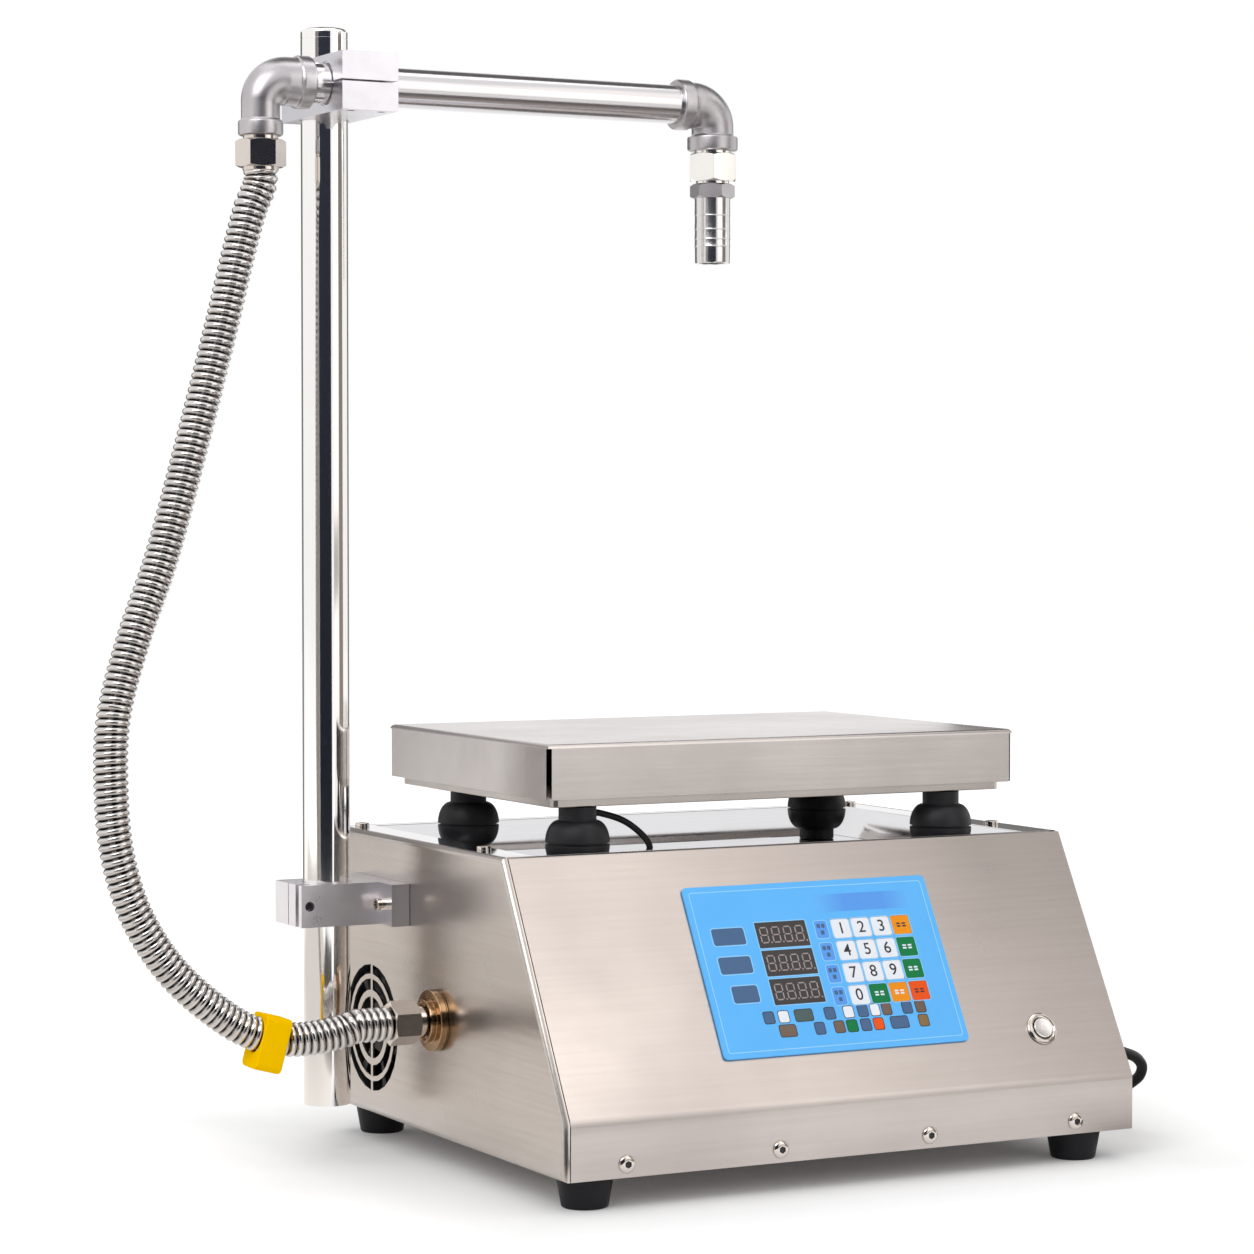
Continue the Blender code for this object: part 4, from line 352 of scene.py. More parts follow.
def make_finishes():
    """Every finish on the machine."""
    line_inputs = (("Stretch", "NodeSocketVector", ALONG_X), ("Line Depth", "NodeSocketFloat", 0.00001))
    line_clouds = (9.0, 3.0, 0.55)
    lines = make_pattern_group("brushed_lines", line_inputs, line_clouds, (0.30, 0.72), 0.45, brushed_lines)
    grain_inputs = (("Grain Size", "NodeSocketFloat", 1500.0), ("Grain Depth", "NodeSocketFloat", 0.00001))
    grain_clouds = (34.0, 4.0, 0.6)
    grain = make_pattern_group("fine_grain", grain_inputs, grain_clouds, (0.32, 0.70), 0.5, fine_grain)
    line_labels = ("Stretch", "Smooth", "Rough", "Line Depth")
    grain_labels = ("Grain Size", "Grain Depth", "Smooth", "Rough")
    for name, values in BRUSHED.items():
        make_finish(lines, name, line_labels, *values)
    for name, values in METALS.items():
        make_finish(grain, name, grain_labels, *values)
    for name, (*values, specular) in PLASTICS.items():
        make_finish(grain, name, grain_labels, *values, metallic=0, specular=specular)
    # The hose's grooves are painted dark: painted shade between its ribs.
    recolour(LOOKS["hose_steel"], groove_shade_share, None, (0.035, 0.034, 0.036, 1))
    recolour(LOOKS["band_blue"], band_middle, (0.11, 0.48, 0.98, 1), None)


# Helpers for modelling
MERGE = 0.00001
FINE_MERGE = 0.000001


def alone(piece):
    """Select one piece and nothing else."""
    bpy.ops.object.select_all(action="DESELECT")
    piece.select_set(True)
    bpy.context.view_layer.objects.active = piece


def turn_onto(way):
    """The turn that lays the Z axis along a way."""
    return way.to_track_quat("Z", "Y").to_euler()


def apply_modifier(piece, kind, **settings):
    """Add a modifier to a piece and apply it."""
    alone(piece)
    bpy.ops.object.modifier_add(type=kind)
    modifier = piece.modifiers[-1]
    for name, value in settings.items():
        setattr(modifier, name, value)
    bpy.ops.object.modifier_apply(modifier=modifier.name)


def soften(piece, width, segments=3, angle=30, smooth=35):
    """Round the sharp edges a little, and shade the piece smooth between them."""
    if width > 0:
        apply_modifier(
            piece,
            "BEVEL",
            width=width / 1000,
            segments=segments,
            limit_method="ANGLE",
            angle_limit=math.radians(angle),
            use_clamp_overlap=True,
        )
    alone(piece)
    bpy.ops.object.shade_smooth_by_angle(angle=math.radians(smooth))
    apply_modifier(piece, "WEIGHTED_NORMAL", keep_sharp=True)


def apply_place():
    """Apply the place, turn and size of the selected piece to its mesh."""
    bpy.ops.object.transform_apply(location=True, rotation=True, scale=True)


def start_ring(name, middle, rotation, radius, sides, fill="NGON"):
    """A flat ring to raise a piece from, left in edit mode."""
    bpy.ops.object.select_all(action="DESELECT")
    bpy.ops.mesh.primitive_circle_add(
        vertices=sides,
        radius=radius / 1000,
        fill_type=fill,
        location=middle,
        rotation=rotation,
    )
    piece = bpy.context.object
    piece.name = name
    bpy.ops.object.mode_set(mode="EDIT")
    return piece


def raise_rings(foot, way, radius, height, steps):
    """Raise the selected ring along a way; each step is a radius and a height."""
    for next_radius, next_height in steps:
        rise = way * ((next_height - height) / 1000)
        bpy.ops.mesh.extrude_region_move(TRANSFORM_OT_translate={"value": rise})
        share = next_radius / radius
        middle = foot + way * (next_height / 1000)
        bpy.ops.transform.resize(value=(share, share, share), center_override=middle)
        radius, height = next_radius, next_height


def leave_raised():
    """Turn every face of the raised piece outward, and leave edit mode."""
    bpy.ops.mesh.select_all(action="SELECT")
    bpy.ops.mesh.normals_make_consistent(inside=False)
    bpy.ops.object.mode_set(mode="OBJECT")
    apply_place()


def turned_piece(name, foot, way, steps, sides=64, through=False):
    """A turned piece, raised ring by ring from its foot; each step is a radius and a height."""
    radius, height = steps[0]
    fill = "NOTHING" if through else "NGON"
    piece = start_ring(name, foot + way * (height / 1000), turn_onto(way), radius, sides, fill)
    raise_rings(foot, way, radius, height, steps[1:])
    if through:
        choose_open_edges()
        bpy.ops.mesh.bridge_edge_loops()
    bpy.ops.mesh.select_all(action="SELECT")
    bpy.ops.mesh.remove_doubles(threshold=FINE_MERGE)
    leave_raised()
    return piece


def choose_open_edges():
    """Select the edges round a mesh's openings, in edit mode."""
    bpy.ops.mesh.select_all(action="DESELECT")
    bpy.ops.mesh.select_mode(type="EDGE")
    bpy.ops.mesh.select_non_manifold(extend=False)


def rounding(radius, height, size, start, end, count=8):
    """Steps round a quarter or half circle, from one angle to another in degrees."""
    steps = []
    for i in range(count + 1):
        angle = math.radians(start + (end - start) * i / count)
        steps.append((radius + size * math.cos(angle), height + size * math.sin(angle)))
    return steps


def block(name, middle, size, turn=(0, 0, 0)):
    """A block with its size in millimetres."""
    bpy.ops.object.select_all(action="DESELECT")
    bpy.ops.mesh.primitive_cube_add(size=1, location=middle, rotation=turn)
    piece = bpy.context.object
    piece.name = name
    piece.scale = Vector(size) / 1000
    apply_place()
    return piece


def choose_edges(piece, wanted):
    """Select the edges of a piece, in edit mode, that a test picks from their two ends."""
    alone(piece)
    bpy.ops.object.mode_set(mode="EDIT")
    bpy.ops.mesh.select_mode(type="EDGE")
    bpy.ops.mesh.select_all(action="DESELECT")
    bpy.ops.object.mode_set(mode="OBJECT")
    points = piece.data.vertices
    for edge in piece.data.edges:
        edge.select = wanted(points[edge.vertices[0]].co, points[edge.vertices[1]].co)
    bpy.ops.object.mode_set(mode="EDIT")


def round_edges(piece, wanted, width, segments=4):
    """Bevel the edges that a test picks."""
    choose_edges(piece, wanted)
    bpy.ops.mesh.bevel(offset=width / 1000, segments=segments, profile=0.5, affect="EDGES")
    bpy.ops.object.mode_set(mode="OBJECT")


def move_edges(piece, wanted, step):
    """Move the edges that a test picks, by a step in millimetres."""
    choose_edges(piece, wanted)
    bpy.ops.transform.translate(value=Vector(step) / 1000)
    bpy.ops.object.mode_set(mode="OBJECT")


def runs_along(way):
    """A test for edges that run along a way."""
    return lambda a, b: abs((a - b).normalized().dot(way)) > 0.99


def plate(name, middle, size, corner, turn=(0, 0, 0), segments=4):
    """A flat plate with round corners, its size in millimetres."""
    piece = block(name, middle, size, turn)
    upright = Matrix.Rotation(turn[0], 3, "X") @ Z_WAY if turn[0] else Z_WAY
    round_edges(piece, runs_along(upright), corner, segments)
    return piece


def shape_with(piece, tool, operation="DIFFERENCE"):
    """Cut a piece with another, or join them, and throw the other away."""
    apply_modifier(piece, "BOOLEAN", object=tool, operation=operation, solver="EXACT")
    bpy.data.objects.remove(tool)


def joined(pieces, name):
    """Several pieces made one object."""
    bpy.ops.object.select_all(action="DESELECT")
    for piece in pieces:
        piece.select_set(True)
    bpy.context.view_layer.objects.active = pieces[0]
    bpy.ops.object.join()
    pieces[0].name = name
    return pieces[0]


def copy_of(piece, name, shift):
    """A copy with its own mesh, moved."""
    made = piece.copy()
    made.data = piece.data.copy()
    made.name = name
    bpy.context.scene.collection.objects.link(made)
    made.data.transform(Matrix.Translation(shift))
    return made


def copy_of_solid(solid, name):
    """A copy of a CAD solid, with its loose triangles merged into clean faces."""
    made = bpy.data.objects.new(name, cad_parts[solid].data.copy())
    bpy.context.scene.collection.objects.link(made)
    made.data.materials.clear()
    alone(made)
    bpy.ops.object.mode_set(mode="EDIT")
    bpy.ops.mesh.select_all(action="SELECT")
    bpy.ops.mesh.remove_doubles(threshold=MERGE)
    bpy.ops.mesh.dissolve_limited(angle_limit=math.radians(1))
    bpy.ops.object.mode_set(mode="OBJECT")
    return made


def hand_over(piece, look, body, slot, *stands_for):
    """Give a finished piece its look and its body, and hide the solids that it stands for."""
    piece.data.materials.clear()
    piece.data.materials.append(LOOKS[look])
    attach(piece, body)
    if stands_for:
        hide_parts(*stands_for)
    return piece


def hand_over_row(first, name, places, look, slot, solids=()):
    """Copy a piece to the other places of a row, and hand all over; the first place is its own."""
    home = Vector(places[0])
    for number, place in enumerate(places[1:], 1):
        made = copy_of(first, f"{name}_{number + 1}", (Vector(place) - home) / 1000)
        hand_over(made, look, "cabinet", slot, *solids[number:number + 1])
    hand_over(first, look, "cabinet", slot, *solids[:1])


def dress_solid(solid, look, width):
    """Keep a CAD solid, with soft edges and a finish."""
    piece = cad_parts[solid]
    for slot in piece.material_slots:
        slot.material = LOOKS[look]
    weld = piece.modifiers.new("weld", "WELD")
    weld.merge_threshold = MERGE
    edges = piece.modifiers.new("soft_edges", "BEVEL")
    edges.width = width / 1000
    edges.segments = 2
    edges.limit_method = "ANGLE"
    edges.angle_limit = math.radians(35)
    edges.harden_normals = True


# Routes of the free cords
HOSE_ROUTE = (
    (-0.070, 0.0002, -0.0059),
    (-0.098, 0.0010, -0.0112),
    (-0.122, 0.0017, -0.0050),
    (-0.146, 0.0028, 0.0155),
    (-0.182, 0.0052, 0.0711),
    (-0.206, 0.0080, 0.1360),
    (-0.218, 0.0110, 0.2035),
    (-0.2215, 0.0142, 0.2735),
    (-0.2185, 0.0185, 0.3638),
    (-0.203, 0.0231, 0.4539),
    (-0.1825, 0.0275, 0.5447),
    (-0.158, 0.0334, 0.6826),
    (-0.1352, 0.0378, 0.8219),
    (-0.1253, 0.0385, 0.8901),
    (-0.1154, 0.0396, 0.9505),
)
CORD_ROUTE = (
    (0.0389, 0.0020, 0.0400),
    (0.0500, 0.0050, 0.0357),
    (0.0588, 0.0102, 0.0285),
    (0.0617, 0.0170, 0.0205),
    (0.0613, 0.0260, 0.0143),
    (0.0600, 0.0400, 0.0062),
    (0.0550, 0.0620, -0.0040),
    (0.0470, 0.0880, -0.0118),
    (0.0380, 0.1150, -0.0153),
    (0.0310, 0.1450, -0.0161),
)
SCALE_CABLE_ROUTE = (
    (0.0020, 0, -0.0044),
    (0.0080, 0, -0.0060),
    (0.0180, 0, -0.0072),
    (0.0360, 0, -0.0132),
    (0.0500, 0, -0.0232),
    (0.0555, 0, -0.0312),
    (0.0535, 0, -0.0382),
)


def smooth_route(points, first_way, last_way, spacing):
    """Evenly spaced points on a smooth curve through the given points."""
    knots = [Vector(point) for point in points]
    ways = [Vector(first_way)]
    for before, here, after in zip(knots, knots[1:], knots[2:]):
        ways.append((after - before) / ((after - here).length + (here - before).length))
    ways.append(Vector(last_way))
    fine = [knots[0]]
    for i, (here, there) in enumerate(pairwise(knots)):
        chord = (there - here).length
        steps = max(2, round(chord / spacing) * 8)
        for step in range(1, steps + 1):
            t = step / steps
            start_pull = ways[i] * chord * (t * (1 - t) ** 2)
            end_pull = ways[i + 1] * chord * (t * t * (t - 1))
            share = t * t * (3 - 2 * t)
            fine.append(here + (there - here) * share + start_pull + end_pull)
    return evenly(fine, max(2, round(chain_length(fine) / spacing)))


def evenly(fine, count):
    """Points at even distances along a chain of points."""
    lengths = [0.0]
    for here, there in pairwise(fine):
        lengths.append(lengths[-1] + (there - here).length)
    spaced = []
    segment = 0
    for i in range(count + 1):
        target = lengths[-1] * i / count
        while segment < len(fine) - 2 and lengths[segment + 1] < target:
            segment += 1
        span = lengths[segment + 1] - lengths[segment]
        spaced.append(fine[segment].lerp(fine[segment + 1], (target - lengths[segment]) / span))
    return spaced


def chain_length(points):
    """The length of a chain of points."""
    return sum((there - here).length for here, there in pairwise(points))


# Hose
HOSE_RIBS = 146
RINGS_PER_RIB = 8
HOSE_SIDES = 30
HOSE_ROOT = 0.0090
RIB_HEIGHT = 0.0024
RIB_LEAN = 1.2


def hose_points():
    """The hose's centreline, with a point for each ring."""
    start = spot(-35.6, OUTLET_Y, OUTLET_Z)
    end = spot(HOSE_LEG_X, ARM_Y, 641.2)
    rise = end.z - start.z
    route = []
    for x, behind, share in HOSE_ROUTE:
        route.append(Vector((CORNER.x + x, start.y + behind, start.z + share * rise)))
    start_run = start - X_WAY * 0.022
    end_run = end - Z_WAY * 0.006
    middle = smooth_route((start_run, *route, end_run), -X_WAY, Z_WAY, 0.00245)
    return evenly([start, *middle, end], HOSE_RIBS * RINGS_PER_RIB)


def rib_swell(index):
    """How far a ring stands out between the root and the crest of its rib, from 0 to 1."""
    return abs(math.sin(math.pi * index / RINGS_PER_RIB)) ** 0.62


def ribbed_tube(name, points, first_index):
    """A ribbed tube along some points, with one ring of vertices at each."""
    ways = []
    for i in range(len(points)):
        before = points[max(i - 1, 0)]
        after = points[min(i + 1, len(points) - 1)]
        ways.append((after - before).normalized())
    side = ways[0].cross(Y_WAY).normalized()
    vertices = []
    depths = []
    for i, point in enumerate(points):
        side = (side - ways[i] * side.dot(ways[i])).normalized()
        other = ways[i].cross(side)
        for k in range(HOSE_SIDES):
            angle = 2 * math.pi * k / HOSE_SIDES
            swell = rib_swell(first_index + i + RIB_LEAN * math.cos(angle))
            radius = HOSE_ROOT + RIB_HEIGHT * swell
            depths.append(1 - swell)
            vertices.append(point + (side * math.cos(angle) + other * math.sin(angle)) * radius)
    faces = []
    for i in range(len(points) - 1):
        for k in range(HOSE_SIDES):
            after = (k + 1) % HOSE_SIDES
            low = i * HOSE_SIDES
            high = low + HOSE_SIDES
            faces.append((low + k, low + after, high + after, high + k))
    mesh = bpy.data.meshes.new(name)
    mesh.from_pydata(vertices, [], faces)
    # The depth in the grooves, which the hose's finish reads to paint shade there.
    groove = mesh.attributes.new("groove", "FLOAT", "POINT")
    groove.data.foreach_set("value", depths)
    mesh.shade_smooth()
    tube = bpy.data.objects.new(name, mesh)
    bpy.context.scene.collection.objects.link(tube)
    return tube


def close_ends(tube):
    """Fill the two open ends of a tube, and turn its faces outward."""
    alone(tube)
    bpy.ops.object.mode_set(mode="EDIT")
    choose_open_edges()
    bpy.ops.mesh.fill_holes(sides=0)
    bpy.ops.mesh.select_all(action="SELECT")
    bpy.ops.mesh.normals_make_consistent(inside=False)
    bpy.ops.object.mode_set(mode="OBJECT")
    bpy.ops.object.shade_smooth_by_angle(angle=math.radians(60))


def make_hose():
    """The ribbed hose in three runs."""
    points = hose_points()
    splits = []
    for height in (290, 460):
        split_z = spot(0, 0, height).z
        splits.append(next(i for i, point in enumerate(points) if point.z > split_z))
    first, second = splits
    runs = (
        ("hose_lower_run", 0, first, "cabinet", "mast", 100, 288),
        ("hose_middle_run", first, second, "mast", "head", 294, 456),
        ("hose_upper_run", second, len(points) - 1, "head", "arm", 464, 616),
    )
    for name, start, end, body, next_body, low, high in runs:
        path = points[start:end + 1]
        run = ribbed_tube(name, path, start)
        close_ends(run)
        run.data.materials.append(LOOKS["hose_steel"])
        spot(0, 0, low)
        spot(0, 0, high)
        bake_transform(run)
        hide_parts("hose")
    return points


# Other cords
def make_curve(name, points, radius, *stands_for):
    """A round cord as a curve along some points."""
    curve = bpy.data.curves.new(name, "CURVE")
    curve.dimensions = "3D"
    curve.bevel_depth = radius
    curve.bevel_resolution = 6
    curve.use_fill_caps = True
    spline = curve.splines.new("POLY")
    spline.points.add(len(points) - 1)
    for i, point in enumerate(points):
        spline.points[i].co = (*point, 1)
    spline.use_smooth = True
    cord = bpy.data.objects.new(name, curve)
    bpy.context.scene.collection.objects.link(cord)
    return hand_over(cord, "cord_plastic", "cabinet", "cord_plastic", *stands_for)


def make_scale_cable():
    """The thin cable from the scale's base into the well."""
    start = spot(80, 140, 223.2)
    route = [start + Vector(step) for step in SCALE_CABLE_ROUTE]
    middle = smooth_route((start - Z_WAY * 0.0019, *route, spot(133, 140, 167.6)), -Z_WAY, -Z_WAY, 0.002)
    points = [start, *middle]
    cable = make_curve("scale_lead", points, 0.0022, "scale_cable")


COIL_TURNS = 4.5
COIL_RADIUS = 0.0475
COIL_PITCH = 0.0078
POINTS_PER_TURN = 48
COIL_Z = -16.2


def coil_points():
    """The power lead's coil: in along the lower layer, and out along the upper one."""
    centre = spot(397.5, 458, COIL_Z)
    points = []
    for i in range(round(COIL_TURNS * POINTS_PER_TURN) + 1):
        turn = i / POINTS_PER_TURN
        radius = COIL_RADIUS - COIL_PITCH * min(turn, COIL_TURNS - turn)
        climb = min(max((turn - 2) * 2, 0), 1)
        angle = 2 * math.pi * turn
        place = (radius * math.cos(angle), radius * math.sin(angle), COIL_PITCH * climb)
        points.append(centre + Vector(place))
    return [*points, points[-1] - Y_WAY * 0.035]


def make_power_cord():
    """The power lead, from its gland to the coil and the plug."""
    start = spot(450.6, GLAND_Y, 44)
    end = spot(445, 450.7, COIL_Z)
    route = [spot(CABINET_WIDTH, GLAND_Y, 0) + Vector(step) for step in CORD_ROUTE]
    middle = smooth_route((start + X_WAY * 0.0035, *route, end - Y_WAY * 0.007), X_WAY, Y_WAY, 0.004)
    points = [start, *middle, end, *coil_points()]
    lead = make_curve("power_lead", points, 0.0038, "power_cord", "power_coil")
    plug = make_plug()


def make_plug():
    """The plug, with a grip that narrows to the lead, and two round pins."""
    foot = spot(350, 422.7, -8.4)
    body = plate("plug_body", foot - Y_WAY * 0.026, (32, 22, 24), 5, (math.pi / 2, 0, 0), 6)
    alone(body)
    bpy.ops.object.mode_set(mode="EDIT")
    bpy.ops.mesh.select_mode(type="FACE")
    bpy.ops.mesh.select_all(action="DESELECT")
    bpy.ops.object.mode_set(mode="OBJECT")
    for face in body.data.polygons:
        face.select = face.normal.y > 0.9
    bpy.ops.object.mode_set(mode="EDIT")
    for step, share in ((2, 0.97), (3, 0.86), (3, 0.86), (3, 0.88), (3, 0.87)):
        bpy.ops.mesh.extrude_region_move(TRANSFORM_OT_translate={"value": (0, step / 1000, 0)})
        bpy.ops.transform.resize(value=(share, 1, share), center_override=foot)
    bpy.ops.object.mode_set(mode="OBJECT")
    soften(body, 0.8, 3)
    hand_over(body, "cord_plastic", "cabinet", "cord_plastic", "power_plug")
    for side in (-1, 1):
        at = foot + Vector((side * 0.0095, -0.036, 0))
        steps = [(2.6, 0), (2.4, 3), (2.4, 18.6), *rounding(0.8, 19.4, 1.6, 0, 80, 4)]
        pin = turned_piece(f"plug_pin_{side + 2}", at, -Y_WAY, steps, 24)
        soften(pin, 0)
        hand_over(pin, "nut_steel", "cabinet", "fitting_steel")
    return body


# Cabinet
SHEET = 1.5
CLOSE = 0.05


def in_cabinet(point):
    """A point's millimetres from the cabinet's corner."""
    return (point - CORNER) * 1000


def make_side_panel(side, outer_x, inner_x, rims):
    """A side panel with its folded edges rounded as a press leaves them."""
    solid = f"{side}_side_panel"
    panel = copy_of_solid(solid, f"{side}_side")

    def at_fold(face_x, inset):
        def wanted(a, b):
            for at in (in_cabinet(a), in_cabinet(b)):
                slope = at.y * math.sin(SLOPE_TURN) - (at.z - LIP_HEIGHT) * math.cos(SLOPE_TURN)
                gaps = (CABINET_DEPTH - at.y, at.z, CABINET_HEIGHT - at.z, at.y, slope)[:rims]
                if abs(at.x - face_x) > CLOSE or min(abs(gap - inset) for gap in gaps) >= CLOSE:
                    return False
            return True
        return wanted

    round_edges(panel, at_fold(inner_x, SHEET), 2.3, 4)
    round_edges(panel, at_fold(outer_x, 0), 3.8, 6)
    soften(panel, 0.15, 2, 40)
    hand_over(panel, "side_sheet", "cabinet", "cabinet_sheet", solid)


def make_front_panel():
    """The sloping front, with its two folds rounded."""
    panel = copy_of_solid("front_panel", "front_sheet")

    def fold(y, z):
        def at_fold(point):
            at = in_cabinet(point)
            return abs(at.y - y) <= 0.06 and abs(at.z - z) <= 0.06
        return lambda a, b: at_fold(a) and at_fold(b)

    round_edges(panel, fold(0, LIP_HEIGHT), 3.0, 6)
    round_edges(panel, fold(SLOPE_END_Y, CABINET_HEIGHT), 1.6, 4)
    soften(panel, 0.12, 2, 40)
    hand_over(panel, "front_sheet", "cabinet", "cabinet_sheet", "front_panel")


def make_ramp(name, middle, size, lowered):
    """A ramp up to the well's rim: a block with one of its upper edges lowered to its foot."""
    ramp = block(name, middle, size)
    move_edges(ramp, lowered, (0, 0, 0.1 - size[2]))
    soften(ramp, 0, smooth=10)
    hand_over(ramp, "top_sheet", "cabinet", "cabinet_sheet")


def make_ramps():
    """The well's rear and right walls, which lean back and so show a bright room."""
    high = spot(0, 0, 190).z

    def at_front(a, b):
        return min(a.z, b.z) > high and max(a.y, b.y) < spot(0, 310, 0).y

    def at_left(a, b):
        return min(a.z, b.z) > high and max(a.x, b.x) < spot(380, 0, 0).x

    make_ramp("well_rear_ramp", spot(215, 325.6, 185.5), (375.8, 38.6, 17.6), at_front)
    make_ramp("well_right_ramp", spot(390.4, 219.8, 185.4), (25, 249.8, 17.4), at_left)


def make_top_plate():
    """The top plate, with the rim and the well's edges rounded."""
    piece = copy_of_solid("top_plate", "top_sheet")

    def well_edge(a, b):
        for p in (in_cabinet(a), in_cabinet(b)):
            if abs(p.z - CABINET_HEIGHT) > CLOSE or not (26.9 <= p.x <= 403.1 and 94.5 <= p.y <= 345.1):
                return False
        return True

    def at_x(x):
        return lambda a, b: all(abs(in_cabinet(p).x - x) < 0.02 for p in (a, b))

    round_edges(piece, well_edge, 1.4, 5)
    move_edges(piece, at_x(5.1), (0.6, 0, 0))
    move_edges(piece, at_x(424.9), (-0.6, 0, 0))
    soften(piece, 0.15, 2, 40)
    hand_over(piece, "top_sheet", "cabinet", "cabinet_sheet", "top_plate")


# Screws, feet and bumpers
def make_screw(name, place, way, steps, height):
    """A turned screw head with a hexagon socket, modelled once."""
    screw = turned_piece(name, spot(*place), way, steps, 40)
    socket = turned_piece("socket", spot(*place), way, [(2.5, height - 1.5), (2.5, height + 1)], 6)
    shape_with(screw, socket)
    soften(screw, 0.12, 2, 40)
    return screw


def make_screws():
    """The screws of the front lip and of the top plate's rim."""
    places = [(x, -0.05, 8.6) for x in (44.4, 155.8, 268.5, 383.7)]
    dome = [(5.4, 0), (5.8, 0.1), (5.8, 0.5), (5.5, 1.0), (4.9, 1.5), (4.1, 1.9), (3.3, 2.1), (2.6, 2.2)]
    first = make_screw("lip_screw_1", places[0], -Y_WAY, dome, 2.2)
    hand_over_row(first, "lip_screw", places, "nut_steel", "fitting_steel")
    # Black discs at the bottom of the lip screws' sockets: painted shade inside the sockets.
    floor = turned_piece("socket_shade_disc_1", spot(*places[0]), -Y_WAY, [(2.3, 0.3), (2.3, 1.0)], 6)
    soften(floor, 0)
    hand_over_row(floor, "socket_shade_disc", places, "print_black", "fitting_steel")
    places = [(x, y, 194.55) for x, y in ((15, 145), (15, 343), (415, 150), (415, 343))]
    flat = [(4.6, 0), (4.9, 0.1), (4.9, 2.3), (4.6, 2.7), (4.0, 2.8), (2.6, 2.8)]
    first = make_screw("rim_screw_1", places[0], Z_WAY, flat, 2.8)
    hand_over_row(first, "rim_screw", places, "nut_steel", "fitting_steel")


CORNERS = ("front_left", "rear_left", "front_right", "rear_right")


def make_feet():
    """Four tapered rubber feet."""
    places = [(x, y, -20) for x, y in ((26, 22), (26, 335), (397, 22), (397, 335))]
    steps = [(12.4, 0.4), (12.9, 0), *rounding(13.4, 1.8, 1.8, -90, 0, 5), (18.6, 21.0), (18.1, 21.7)]
    first = turned_piece("rubber_foot_1", spot(*places[0]), Z_WAY, steps, 56)
    soften(first, 0)
    solids = [f"foot_{corner}" for corner in CORNERS]
    hand_over_row(first, "rubber_foot", places, "foot_rubber", "black_rubber", solids)


def make_bumpers():
    """Four rubber bumpers, each two domes with a groove between them."""
    places = [(x, y, 176.9) for x, y in ((70, 118), (70, 285), (352, 118), (352, 285))]
    neck = 12.5
    spread = 8.8
    height = 14.4
    steps = [(10.5, 0.1), (neck, 0.1), (neck, 7)]
    for i in range(1, 11):
        angle = math.pi / 2 * i / 10
        steps.append((neck + spread * math.sin(angle), 7 + height * (1 - math.cos(angle))))
    steps += [(19.4, 21.5), (19.4, 22.8)]
    for i in range(11):
        angle = math.pi / 2 * i / 10
        steps.append((neck + spread * math.cos(angle), 22.9 + height * math.sin(angle)))
    steps += [(neck, 46.2), (10.5, 46.2)]
    first = turned_piece("rubber_bumper_1", spot(*places[0]), Z_WAY, steps)
    soften(first, 0.25, 3, 50)
    solids = [f"bumper_{corner}" for corner in CORNERS]
    hand_over_row(first, "rubber_bumper", places, "rubber", "black_rubber", solids)


# Scale
def make_platter():
    """The folded platter, open at its corners where two skirts meet."""
    pan = block("weighing_platter", spot(220, 226, 247.25), (360, 250, 36.5))
    top_z = spot(0, 0, 265).z
    round_edges(pan, lambda a, b: a.z > top_z and b.z > top_z, 3.2, 6)
    low_z = spot(0, 0, 229.2).z
    round_edges(pan, lambda a, b: abs(a.x - b.x) + abs(a.y - b.y) < 0.0001 and min(a.z, b.z) < low_z, 1.6, 4)
    shape_with(pan, block("hollow", spot(220, 226, 245.5), (357, 247, 37)))
    for x, y, way in ((40, 101, 1), (400, 101, -1), (40, 351, -1), (400, 351, 1)):
        shape_with(pan, block("slot", spot(x, y, 244.2), (3.8, 14, 36.6), (0, 0, -way * math.pi / 4)))
    soften(pan, 0.5, 3, 40)
    hand_over(pan, "platter_sheet", "platter", "platter_sheet", "platter")


# Mast, bracket and clamp
def make_mast():
    """The mast's tube, with a cap whose edge is rounded."""
    steps = [(14.5, 13.7), (16, 13.7), (16, 733.4), (15.8, 733.6), (15.8, 734.0), (16, 734.2)]
    steps += [*rounding(13, 738, 3, 0, 90, 8), (6, 741)]
    mast = turned_piece("mast_polished", spot(MAST_X, MAST_Y, 0), Z_WAY, steps, 96)
    soften(mast, 0)
    hand_over(mast, "polished_upright_lit", "mast", "mast_steel", "mast_tube")


def make_bracket():
    """The milled bracket that holds the mast on the cabinet's side."""
    bracket = copy_of_solid("mast_bracket", "milled_bracket")
    soften(bracket, 0.5, 3, 40)
    hand_over(bracket, "bracket_metal_lit", "cabinet", "aluminium", "mast_bracket")
    head = [(4.25, 0), (4.25, 7.6), (3.95, 8), (2.3, 8), (2.3, 4.4)]
    screw = turned_piece("bracket_screw", spot(-13.3, 238, 151.5), -X_WAY, head, 40)
    soften(screw, 0.15, 2, 40)
    hand_over(screw, "nut_steel", "cabinet", "fitting_steel")
    rear = copy_of(screw, "bracket_screw_rear", Y_WAY * 0.071)
    hand_over(rear, "nut_steel", "cabinet", "fitting_steel")
    pinch = turned_piece("pinch_screw", spot(-64, 256.6, 151), Y_WAY, [(3.2, 0), (3.2, 30)], 32)
    soften(pinch, 0.2, 2, 40)
    hand_over(pinch, "print_black", "cabinet", "fitting_steel")


